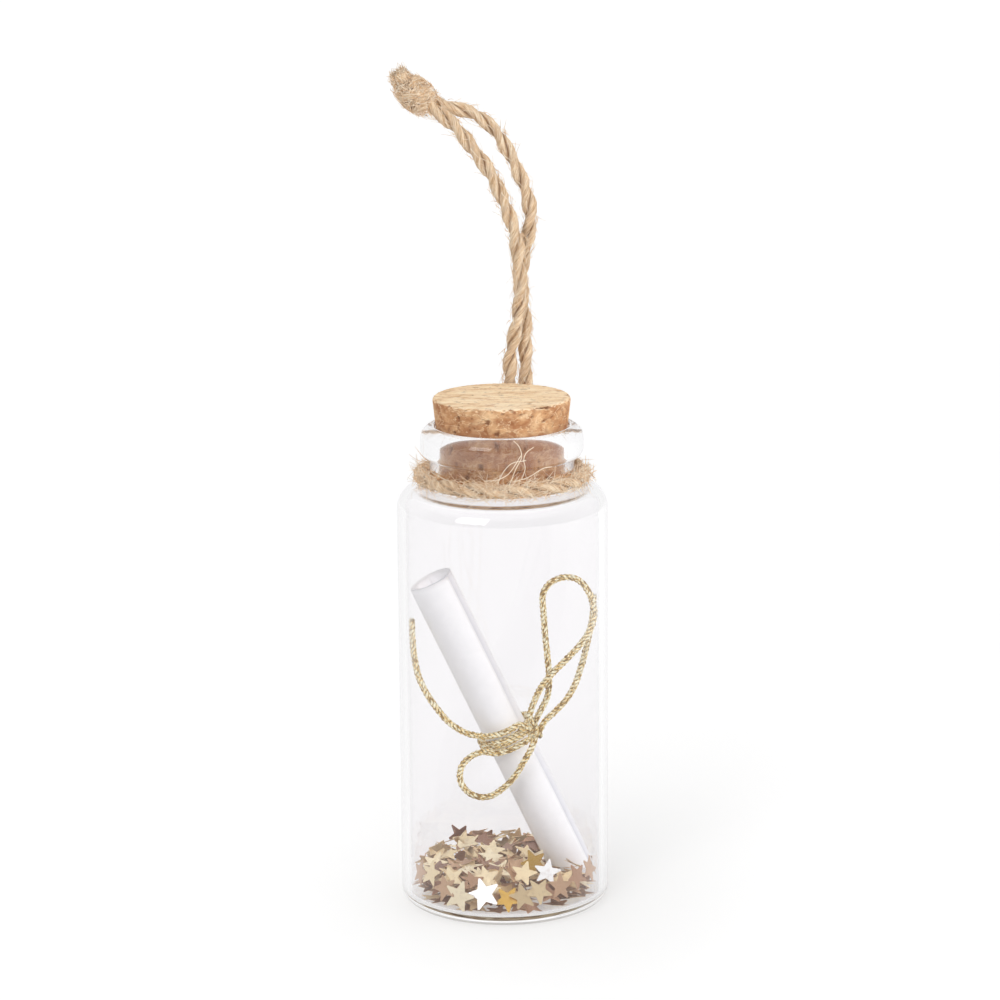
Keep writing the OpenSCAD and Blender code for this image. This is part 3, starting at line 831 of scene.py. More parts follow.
@dataclass
class HangingLoop:
    """The twine's loop above the cork: two legs, their knot and its cut ends."""

    twine: JuteTwine
    knot_middle: Vector
    knot_slope: float = 38.5
    ends_slope: float = 63.0
    winds: float = 2.0

    def build(self, yarn: bpy.types.Material, fibre: bpy.types.Material) -> None:
        """Make the loop's legs, knot, cut ends and fibres, and let them ride on the hanger."""
        knot = self._knot(yarn)
        ends = self._ends(yarn)
        lines = [Line.through(route, self.twine.step) for route in (LEG_LEFT, LEG_RIGHT)]
        tuft = Draft()
        for k, line in enumerate(lines):
            self.twine.fuzz(tuft, line, 8.0, 1.3 * MM, 40 + k)
            self.twine.fuzz(tuft, line, 1.2, 1.5 * MM, 50 + k, Lie.HAIRY)
        self._knot_fuzz(tuft)
        hairs = tuft.piece("loop_fibres", fibre)
        self._settle(hairs)
        for k, (name, line) in enumerate(zip(("leg_left", "leg_right"), lines)):
            draft = Draft()
            self.twine.plies(draft, line, 1.2 + 1.9 * k, 11.0 + k * 3.3)
            leg = draft.piece("twine_" + name, yarn)
            self._settle(leg)
            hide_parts("loop_" + name)

    def _settle(self, piece: bpy.types.Object) -> None:
        """Let a piece ride on the hanger."""
        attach(piece, "hanger")

    def _axes(self) -> tuple[Vector, Vector, Vector]:
        """The knot's axis, its upward side and its back."""
        a = math.radians(self.knot_slope)
        axis = Vector((-math.cos(a), 0, math.sin(a)))
        back = Vector((0, 1, 0))
        return axis, axis.cross(back) * -1, back

    def _at(self, radius: float, angle: float, along: float) -> Vector:
        """A spot in the knot, from its distance off the axis, angle and height in millimetres."""
        axis, up, back = self._axes()
        return self.knot_middle + MM * (
            axis * along + radius * (math.cos(angle) * up + math.sin(angle) * back)
        )

    def _knot(self, yarn: bpy.types.Material) -> bpy.types.Object:
        """An overhand knot drawn tight, tied in both strands together."""
        draft = Draft()
        for strand in (0, 1):
            phase = math.pi / 2 + math.pi * strand
            knots = [self._at(1.05, phase, -3.4), self._at(0.8, phase + 0.2, -2.3)]
            turns = 13
            for k in range(turns + 1):
                t = k / turns
                lift = 1.35 * math.cos(math.pi * t)
                bulge = 1.12 + 0.42 * math.sin(math.pi * t) + 0.1 * math.sin(5 * t + strand)
                knots.append(self._at(bulge, phase + 0.9 + TURN * self.winds * t, lift))
            knots += [self._at(0.6, phase + 0.6, 0.2), self._at(0.7, phase + 0.2, 1.8), self._at(0.8, phase, 2.9)]
            line = Line.through(knots, self.twine.step)
            self.twine.plies(draft, line, 0.6 + strand, 31.0 + strand * 4.1, 0.95)
        knot = draft.piece("loop_overhand_knot", yarn)
        self._settle(knot)
        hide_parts("loop_knot")
        return knot

    def _ends(self, yarn: bpy.types.Material) -> bpy.types.Object:
        """The two short cut ends beyond the knot, pressed together into a soft club."""
        draft = Draft()
        a = math.radians(self.ends_slope)
        way = Vector((-math.cos(a), 0, math.sin(a)))
        dice = random.Random(77)
        for strand in (0, 1):
            start = self._at(0.8, math.pi / 2 + math.pi * strand, 1.9)
            side = Vector((-0.05 + 0.1 * strand, 0.05 - 0.1 * strand, 0.02))
            line = Line.through([start, start + way * 1.3 * MM, start + (way * 2.6 + side * 2.0) * MM], self.twine.step)
            full = line.length

            def radius(angle: float, mark: float) -> float:
                t = mark / full
                ridge = noise.noise(Vector((math.cos(angle) * 2.2, math.sin(angle) * 2.2 + strand, t)))
                ridge += 0.6 * noise.noise(Vector((math.cos(angle) * 6, math.sin(angle) * 6 + strand, t * 0.7)))
                dome = math.sqrt(max(1 - max(0.0, (t - 0.55) / 0.45) ** 2, 0.04))
                return self.twine.diameter * (0.46 + 0.2 * t * t) * (1 + 0.22 * ridge * (0.4 + t)) * dome

            draft.tube(line, radius, 30, 60.0 + strand, 0.1 / MM, 1.0)
            for _ in range(330):
                i = dice.randrange(len(line.spots) // 4, len(line.spots))
                spot, head, u, v = line.frame_at(i)
                turn = dice.uniform(0, TURN)
                out = math.cos(turn) * u + math.sin(turn) * v
                lean = dice.uniform(0.0, 0.6)
                slim = 1.0 - 0.5 * (i / len(line.spots)) ** 4
                root = spot + out * self.twine.diameter * dice.uniform(0.3, 0.54) * slim - head * 0.6 * MM
                long = dice.uniform(0.4, 1.0) * MM
                way_out = (head + out * lean + u * dice.uniform(-0.5, 0.5)).normalized()
                spots = [root + way_out * long * t + out * 0.1 * MM * t * t for t in (0, 0.35, 0.7, 1)]
                draft.hair(spots, 0.05 * MM, dice.uniform(0.88, 1.0))
        ends = draft.piece("loop_frayed_ends", yarn)
        self._settle(ends)
        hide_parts("loop_cut_ends")
        return ends

    def _knot_fuzz(self, tuft: Draft) -> None:
        """Loose fibres that lie over the knot and its ends."""
        dice = random.Random(5)
        slope = math.radians(self.ends_slope)
        way_up = Vector((-math.cos(slope), 0, math.sin(slope)))
        for _ in range(1150):
            angle = dice.uniform(0, TURN)
            along = dice.uniform(-2.8, 5.0)
            if along < 2.6:
                middle = self._at(0, 0, along)
                wide = 2.5 * math.sqrt(max(1 - (along / 3.3) ** 2, 0.3))
                root = self._at(wide, angle, along)
            else:
                middle = self._at(0, 0, 2.2) + way_up * (along - 2.6) * MM
                side = Vector((way_up.z, 0, -way_up.x))
                wide = 1.5 * math.sqrt(max(1 - ((along - 2.6) / 2.6) ** 4, 0.05))
                root = middle + (math.cos(angle) * side + 1.35 * math.sin(angle) * Vector((0, 1, 0))) * wide * MM
            out = (root - middle).normalized()
            curl = Vector([dice.uniform(-1, 1) for _ in range(3)])
            curl -= out * curl.dot(out)
            long = dice.uniform(0.5, 1.6) * MM
            way = (out * dice.uniform(-0.1, 0.2) + curl).normalized()
            bow = way.cross(out) * dice.uniform(-0.5, 0.5)
            spots = [root + (way * t + (bow - out * 0.35) * t * t) * long for t in (0, 0.25, 0.5, 0.75, 1)]
            tuft.hair(spots, 0.05 * MM, dice.random())


LONG_FIBRES = (
    [(0.9, -12.2, 63.6), (1.9, -12.9, 66.3), (2.7, -13.0, 68.0), (2.4, -12.7, 69.4), (1.6, -12.3, 70.2)],
    [(2.6, -12.8, 68.2), (1.8, -13.1, 66.9), (0.7, -13.1, 65.5), (-0.8, -13.0, 64.8), (-2.4, -12.7, 64.6)],
    [(2.7, -12.7, 64.8), (3.2, -13.0, 66.4), (3.0, -12.9, 67.6), (3.4, -12.7, 68.6), (4.4, -12.4, 69.3)],
    [(1.4, -12.6, 64.4), (3.6, -13.2, 65.2), (5.6, -12.7, 66.3), (6.9, -12.0, 66.4)],
    [(-0.6, -12.6, 64.2), (0.2, -13.2, 66.0), (1.4, -13.2, 67.2), (3.3, -12.8, 67.5)],
)


@dataclass
class NeckTwine:
    """The twine round the neck, its knot behind, and its loose fibres."""

    twine: JuteTwine
    ring_radius: float = 11.5 * MM
    height: float = 62.7 * MM
    knot_spot: tuple[float, float, float] = (2.3, 12.9, 63.1)

    def build(self, yarn: bpy.types.Material, fibre: bpy.types.Material) -> None:
        """Make the band, the knot and the fibres."""
        band = Draft()
        line = self._round(0.0)
        self.twine.plies(band, line, 0.4, 51.0, 0.97)
        band_piece = band.piece("neck_twine", yarn)
        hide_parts("neck_band")
        knot = Draft()
        self._winds(knot)
        knot_piece = knot.piece("neck_twine_knot", yarn)
        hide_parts("neck_knot")
        tuft = Draft()
        self.twine.fuzz(tuft, line, 13.0, 1.8 * MM, 90)
        self.twine.fuzz(tuft, line, 2.5, 1.6 * MM, 91, Lie.HAIRY)
        self._front_fuzz(tuft)
        for piece in (band_piece, knot_piece, tuft.piece("neck_fibres", fibre)):
            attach(piece, "vial")

    def _spot(self, angle: float, out: float = 0.0, up: float = 0.0) -> Vector:
        """A spot on the band, from its angle about the neck in degrees."""
        a = math.radians(angle)
        r = self.ring_radius + out
        return Vector((r * math.cos(a), r * math.sin(a), self.height + up))

    def _round(self, lift: float) -> Line:
        """The band's middle, from one side of its knot round the front to the other."""
        knots = []
        for k in range(37):
            angle = 82 + 356 * k / 36
            wave = noise.noise(Vector((k * 0.45, 2.0, lift)))
            knots.append(self._spot(angle, 0.1 * MM * abs(wave), (0.12 * wave + 0.15) * MM))
        return Line.through(knots, self.twine.step)

    def _winds(self, draft: Draft) -> None:
        """Two tight winds about a core, where the ends are tied behind the neck."""
        middle = Vector(self.knot_spot) * MM
        for strand in (0, 1):
            spots = []
            for k in range(15):
                t = k / 14
                a = TURN * (1.6 * t + 0.5 * strand) + 0.4
                x = (t - 0.5) * 3.6 * (1 if strand else -1)
                spots.append(middle + MM * Vector((x, 0.72 * math.cos(a), 0.72 * math.sin(a))))
            self.twine.plies(draft, Line.through(spots, self.twine.step), 0.3, 71.0 + strand, 0.9)

    def _front_fuzz(self, tuft: Draft) -> None:
        """Tangled fibres in front and at both sides, and the few long ones above."""
        dice = random.Random(12)
        for middle, spread, count in ((-88, 17, 300), (-166, 9, 70), (-24, 13, 130)):
            for _ in range(count):
                angle = dice.gauss(middle, spread)
                root = self._spot(angle, dice.uniform(0.2, 1.15) * MM, dice.uniform(-0.8, 1.1) * MM)
                out = Vector((math.cos(math.radians(angle)), math.sin(math.radians(angle)), 0))
                way = Vector([dice.uniform(-1, 1), dice.uniform(-1, 1), dice.uniform(-0.5, 0.9)])
                way = (way - out * way.dot(out) * 0.8).normalized()
                curl = Vector([dice.uniform(-1, 1), dice.uniform(-1, 1), dice.uniform(-1, 1)])
                curl -= out * curl.dot(out) * 0.8
                long = dice.uniform(0.6, 2.1) * MM
                spots = [root + way * long * t + curl * long * 0.7 * t * t for t in (0, 0.2, 0.4, 0.6, 0.8, 1)]
                tuft.hair(spots, self.twine.fibre_width * dice.uniform(0.6, 1.3), 0.35 + 0.65 * dice.random())
        for route in LONG_FIBRES:
            line = Line.through(millimetres(route), 0.3 * MM)
            tuft.tube(line, lambda a, m: 0.048 * MM, 5, 3.0, 0.0, 0.9)


# ---------------------------------------------------------------- bottle and cork


def arc(x: float, z: float, r: float, start: float, end: float, steps: int = 12) -> list[tuple[float, float]]:
    """Points on an arc of an outline, with its angles in degrees."""
    spread = [math.radians(start + (end - start) * i / steps) for i in range(steps + 1)]
    return [((x + r * math.cos(a)) * MM, (z + r * math.sin(a)) * MM) for a in spread]


@dataclass
class Vial:
    """The blown glass vial."""

    body_r: float = 15.0
    inner_r: float = 13.8
    heel_r: float = 2.0
    inner_heel_r: float = 1.0
    stand_w: float = 1.2
    punt_h: float = 0.5
    floor_h: float = 1.35
    shoulder_z: float = 58.0
    shoulder_r: float = 3.5
    hollow_r: float = 1.2
    rise: float = 0.85
    neck_r: float = 10.3
    rim_r: float = 11.6
    rim_z: float = 65.4
    rim_top_r: float = 1.9
    top_z: float = 70.0
    mouth_r: float = 9.4
    lip_r: float = 0.35
    bore_r: float = 8.45
    bore_edge_r: float = 0.8
    sides: int = 192

    def outline(self) -> list[tuple[float, float]]:
        """Half outline of the glass: along the base, up outside and down inside."""
        wall = self.body_r - self.inner_r
        shoulder_x = self.body_r - self.shoulder_r
        inner_shoulder = self.shoulder_r - wall
        top = self.shoulder_z + self.shoulder_r
        under_rim = self.rim_r - self.neck_r
        dome = self.body_r - self.heel_r - self.stand_w
        base = [(dome * t * MM, self.punt_h * (1 - t * t) * MM) for t in (i / 10 for i in range(11))]
        bore_foot = self.shoulder_z + inner_shoulder + self.rise + self.bore_edge_r
        return [
            *base,
            *arc(self.body_r - self.heel_r, self.heel_r, self.heel_r, -90, 0),
            *arc(shoulder_x, self.shoulder_z, self.shoulder_r, 0, 90, 16),
            *arc(self.neck_r + self.hollow_r, top + self.hollow_r, self.hollow_r, -90, -180),
            *arc(self.neck_r, self.rim_z + under_rim, under_rim, -90, 0),
            *arc(self.rim_r - self.rim_top_r, self.top_z - self.rim_top_r, self.rim_top_r, 0, 90),
            *arc(self.mouth_r + self.lip_r, self.top_z - self.lip_r, self.lip_r, 90, 180),
            *arc(self.bore_r + self.bore_edge_r, bore_foot, self.bore_edge_r, 180, 252),
            *arc(shoulder_x, self.shoulder_z, inner_shoulder, 72, 0, 16),
            *arc(self.inner_r - self.inner_heel_r, self.floor_h + self.inner_heel_r, self.inner_heel_r, 0, -90),
            (0.0, self.floor_h * MM),
        ]

    def build(self, glass: bpy.types.Material) -> None:
        """Make the glass and let it ride on the vial."""
        draft = Draft()
        draft.lathe(self.outline(), self.sides)
        piece = draft.piece("glass_vial", glass)
        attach(piece, "vial")
        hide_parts("bottle")


@dataclass
class Cork:
    """The tapered stopper, cut from natural cork."""

    foot_z: float = 61.3
    top_z: float = 74.0
    foot_r: float = 8.42
    top_r: float = 9.83
    bevel: float = 0.5
    sides: int = 320
    rows: int = 96

    def build(self, cork: bpy.types.Material) -> None:
        """Make the stopper, with its pits and crumbled edges."""
        draft = Draft()
        outline = [(self.foot_r * k / 14, self.foot_z) for k in range(14)]
        outline += [
            (self.foot_r + (self.top_r - self.foot_r) * t, self.foot_z + (self.top_z - self.foot_z) * t)
            for t in (k / self.rows for k in range(self.rows + 1))
        ]
        outline += [(self.top_r * (1 - k / 60), self.top_z) for k in range(1, 61)]
        draft.lathe([(r * MM, z * MM) for r, z in outline], self.sides)
        for i, spot in enumerate(draft.points):
            draft.points[i], draft.shade[i] = self._worn(spot / MM)
        piece = draft.piece("cork_body", cork)
        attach(piece, "cork")
        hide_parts("cork_stopper")

    def _worn(self, spot: Vector) -> tuple[Vector, float]:
        """Round a spot off at the edges and sink it where a pit lies.

        Args:
            spot: A spot on the plain cone, in millimetres.

        Returns:
            The spot in metres, and how dark the cork is there.
        """
        r = math.hypot(spot.x, spot.y)
        t = (spot.z - self.foot_z) / (self.top_z - self.foot_z)
        side = self.foot_r + (self.top_r - self.foot_r) * t
        depth_in = side - r
        depth_end = min(self.top_z - spot.z, spot.z - self.foot_z)
        near = max(0.0, self.bevel - max(depth_in, 0)) * max(0.0, self.bevel - max(depth_end, 0))
        chip = 0.35 + 1.5 * abs(noise.noise(spot * 1.3)) + 0.5 * abs(noise.noise(spot * 3.7))
        inward = near / self.bevel * 0.40 * chip
        pit = noise.noise(Vector((spot.x * 0.75, spot.y * 0.75, spot.z * 1.1)) + Vector((5, 3, 8)))
        small = noise.noise(Vector((spot.x * 1.9, spot.y * 1.9, spot.z * 2.6)) + Vector((1, 9, 4)))
        grain = noise.noise(spot * 2.6)
        hole = min(max(pit + 0.22 * grain - 0.40, 0.0) * 4.0 + max(small - 0.46, 0.0) * 3.0, 1.0)
        on_top = depth_end < 0.02 and t > 0.5 and depth_in > 0.3
        sink = (0.10 if on_top else 0.28) * hole + 0.05 * abs(grain) + 0.04 * abs(noise.noise(spot * 6.0))
        if on_top:
            place = Vector((spot.x, spot.y, spot.z - sink))
        else:
            scale = (r - inward - sink) / r if r > 0.5 else 1.0
            lower = inward if t > 0.5 else -inward
            place = Vector((spot.x * scale, spot.y * scale, spot.z - lower))
        return place * MM, hole * (0.35 if on_top else 0.8)


# ---------------------------------------------------------------- note and bow


@dataclass
class Note:
    """The rolled sheet of paper."""

    foot: tuple[float, float, float] = (10.075, 1.5, 3.6)
    radius: float = 3.5
    length: float = 48.5
    turns: float = 2.6
    pitch: float = 0.3
    thick: float = 0.12
    edge_turn: float = 44.0
    edge_lift: float = 0.42
    lean: float = 24.87
    tip: float = 2.3

    def axes(self) -> Matrix:
        """The roll's own frame, from its foot up along its axis."""
        turn = Matrix.Rotation(math.radians(-self.lean), 4, "Y") @ Matrix.Rotation(math.radians(self.tip), 4, "X")
        return Matrix.Translation(Vector(self.foot)) @ turn

    def build(self, paper: bpy.types.Material) -> None:
        """Make the sheet as one spiral of its real thickness."""
        draft = Draft()
        frame_ = self.axes()
        per_turn = 64
        count = round(self.turns * per_turn)
        rings = []
        rows = 60
        for row in range(rows + 1):
            along = self.length * row / rows
            ring = []
            for depth, order in ((0.0, range(count + 1)), (self.thick, range(count, -1, -1))):
                for i in order:
                    turn = i / per_turn
                    a = -(turn * TURN) - math.radians(self.edge_turn)
                    held = math.exp(-(((along - 23) / 6.0) ** 2))
                    lift = self.edge_lift * math.exp(-((turn / 0.10) ** 2)) * (0.55 + 0.45 * along / self.length)
                    slack = 0.03 * noise.noise(Vector((turn * 2.0, along * 0.05, 7.0)))
                    r = self.radius - 0.12 - depth - turn * self.pitch
                    r += lift * (1 - 0.6 * held) + slack * min(turn, 1)
                    tele = 0.09 * math.sin(turn * 2.1 + 0.4) * (1 if row in (0, rows) else 0)
                    spot = frame_ @ Vector((r * math.cos(a), r * math.sin(a), along + tele))
                    # painted shade on the layer just within the lifted loose end, less where the cord holds the sheet
                    under = math.exp(-max(0.97 - turn, 0) / 0.07) if 0.5 < turn < 1.3 else 0.0
                    ring.append(draft.point(spot * MM, shade=under * (1 - 0.5 * held)))
            rings.append(ring)
        draft.skin(rings)
        width = len(rings[0])
        for ring, flip in ((rings[0], True), (rings[-1], False)):
            for i in range(count):
                face = (ring[i], ring[i + 1], ring[width - 2 - i], ring[width - 1 - i])
                draft.faces.append(tuple(reversed(face)) if flip else face)
        piece = draft.piece("note_sheet", paper)
        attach(piece, "message")
        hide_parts("paper_roll")


TAIL_LEFT = millimetres([
    (3.5, -3, 26.1), (2.3, -3.3, 26.8), (0.7, -3.8, 26.1), (-1, -3.9, 25.5), (-3.1, -3.6, 25.2),
    (-5.4, -3.2, 25.6), (-7.5, -2.9, 26.8), (-9.3, -2.7, 28.8), (-10.9, -2.5, 31.2),
    (-12, -2.3, 33.6), (-12.6, -2.1, 36.2), (-12.9, -1.9, 39.1), (-13, -1.7, 42),
])  # fmt: skip
LOOP_LOWER = millimetres([
    (4.4, -3.4, 24.7), (3.8, -4.2, 23.4), (2.7, -4.7, 21.6), (1.5, -4.8, 19.6), (-0.1, -4.9, 17.9),
    (-2.2, -4.9, 16.6), (-4.5, -4.8, 16.8), (-6.1, -4.6, 18.4), (-6.2, -4.3, 20.6),
    (-4.9, -4, 22.2), (-3.1, -3.8, 22.9), (-1.2, -3.8, 22.7), (0.8, -3.8, 23.2),
    (2.6, -3.3, 24), (4.2, -2.4, 24.8),
])  # fmt: skip
LOOP_UPPER = millimetres([
    (4.1, -3.4, 26.6), (3.6, -3.8, 28.1), (4.3, -4.3, 30.6), (5.3, -4.8, 32.8), (6.6, -5, 34.6),
    (8.6, -4.7, 36.6), (10.6, -4.1, 38.6), (12, -3.5, 40.6), (12.7, -3, 43), (12.2, -3, 45.7),
    (10.9, -3.3, 47.8), (9, -3.7, 48.6), (6.9, -3.9, 48), (5.6, -4, 46.2), (5.7, -3.9, 43.2),
    (5.9, -3.8, 40), (6.2, -3.7, 36.8), (6.4, -3.6, 33.9), (6.2, -3.4, 31.1),
    (5.2, -3, 28.8), (4.2, -2.5, 26.5),
])  # fmt: skip
TAIL_RIGHT = millimetres([
    (4.9, -2.8, 25.5), (5.8, -2.5, 27), (7.3, -2.2, 28.4), (8.9, -2, 30.1), (10.1, -1.9, 32.2),
    (10.9, -1.8, 34.5), (11.6, -1.7, 37), (12.2, -1.5, 39.6), (12.7, -1.3, 42.2), (13, -1, 45.2),
])  # fmt: skip


@dataclass
class GoldBow:
    """The gold cord: its wraps round the note, its knot, loops and ends."""

    note: Note
    diameter: float = 0.85 * MM
    lay: float = 1.9 * MM
    step: float = 0.1 * MM
    wrap_radius: float = 3.975
    wrap_at: float = 22.8
    wrap_pitch: float = 0.9

    def cord(self, draft: Draft, line: Line, phase: float, seed: float) -> None:
        """Draw the three threads of a stretch of cord."""
        thread_r = 0.27 * self.diameter
        # painted shade reading for the grooves between the threads
        tone = groove_shade(line, self.diameter, 0.36, 0.53)
        for k in range(3):
            strand = line.strand(lambda m: 0.295 * self.diameter, self.lay, phase + TURN * k / 3)

            def radius(a: float, mark: float, place: float = seed + k * 1.7) -> float:
                s = mark / MM
                wrap = math.sin(s * 13.0 + a + place)
                lump = noise.noise(Vector((math.cos(a) + place, math.sin(a), s * 1.8)))
                return thread_r * (1 + 0.07 * wrap + 0.16 * lump)

            draft.tube(strand, radius, 10, seed + k * 1.7, 0.5 / MM, tone)

    def build(self, thread: bpy.types.Material) -> None:
        """Make the bow: its wraps, its knot, and two loops with their ends."""
        wraps = self._wraps(thread)
        knot = self._knot(thread)
        lower = self._free("bow_lower_loop", LOOP_LOWER + millimetres([(4.6, -2.5, 25.6)]) + TAIL_LEFT, thread, 3.0)
        upper = self._free("bow_upper_loop", LOOP_UPPER + millimetres([(4.2, -2.4, 25.5)]) + TAIL_RIGHT, thread, 5.0)
        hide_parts("gold_loop_lower", "gold_tail_left")
        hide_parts("gold_loop_upper", "gold_tail_right")
        LOG.info("bow: %s and %s", wraps.name, knot.name)

    def _settle(self, piece: bpy.types.Object) -> bpy.types.Object:
        """Let a piece ride on the note."""
        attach(piece, "message")
        return piece

    def _free(self, name: str, route: list[Vector], thread: bpy.types.Material, seed: float):
        """One loop of the bow and the end that follows it."""
        line = Line.through(route, self.step)
        draft = Draft()
        self.cord(draft, line, seed, seed)
        self._frayed(draft, line, int(seed))
        return self._settle(draft.piece(name, thread)), line

    def _frayed(self, draft: Draft, line: Line, seed: int) -> None:
        """A few threads that open at the cut end."""
        dice = random.Random(seed)
        spot, head, u, v = line.frame_at(len(line.spots) - 1)
        for _ in range(14):
            a = dice.uniform(0, TURN)
            out = math.cos(a) * u + math.sin(a) * v
            root = spot + out * 0.18 * MM - head * 0.3 * MM
            spots = [root + (head * 0.55 + out * 0.16) * MM * t for t in (0, 0.5, 1)]
            draft.hair(spots, 0.07 * MM)

    def _on_roll(self, radius: float, angle: float, along: float) -> Vector:
        """A spot on the note's own axes, in metres, with its angle in degrees."""
        a = math.radians(angle)
        return (self.note.axes() @ Vector((radius * math.cos(a), radius * math.sin(a), along))) * MM

    def _wraps(self, thread: bpy.types.Material) -> bpy.types.Object:
        """The cord's turns round the note."""
        draft = Draft()
        turns = 2.05
        knots = []
        for k in range(60):
            t = k / 59
            angle = -40 - 360 * turns * t
            along = self.wrap_at + self.wrap_pitch * min(max(t * turns - 0.5, 0), 1) + 0.05 * math.sin(7 * t)
            knots.append(self._on_roll(self.wrap_radius, angle, along))
        self.cord(draft, Line.through(knots, self.step), 0.4, 1.0)
        piece = self._settle(draft.piece("bow_wraps", thread))
        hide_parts("gold_wrap")
        return piece

    def _knot(self, thread: bpy.types.Material) -> bpy.types.Object:
        """The bow's knot: the cord crossing over itself in tight turns."""
        draft = Draft()
        middle_r = self.wrap_radius + self.diameter / MM / 2 + 0.75
        centre = self.wrap_at + self.wrap_pitch / 2 - 0.9
        for strand, (turn, tilt, reach) in enumerate(((0.0, 0.9, 0.95), (1.9, -0.7, 0.9), (3.6, 0.1, 0.7))):
            knots = []
            for k in range(13):
                t = k / 12
                a = turn + TURN * 1.15 * t
                knots.append(
                    self._on_roll(
                        middle_r - 0.15 + 0.55 * math.cos(a),
                        -38 + math.degrees(0.55 * math.sin(a) * reach / middle_r * 1.3),
                        centre + tilt * (t - 0.5) * 2.0 + 0.5 * math.sin(a + strand) * reach,
                    )
                )
            self.cord(draft, Line.through(knots, self.step), 0.2, 8.0 + strand)
        piece = self._settle(draft.piece("bow_knot", thread))
        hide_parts("gold_knot")
        return piece


# ---------------------------------------------------------------- confetti


@dataclass
class Placing:
    """Where one star lies, how it is bent, and the shades of its front and back."""

    middle: Vector
    turn: Quaternion
    bend: float
    shade: float
    back: float
    size: float = 1.0


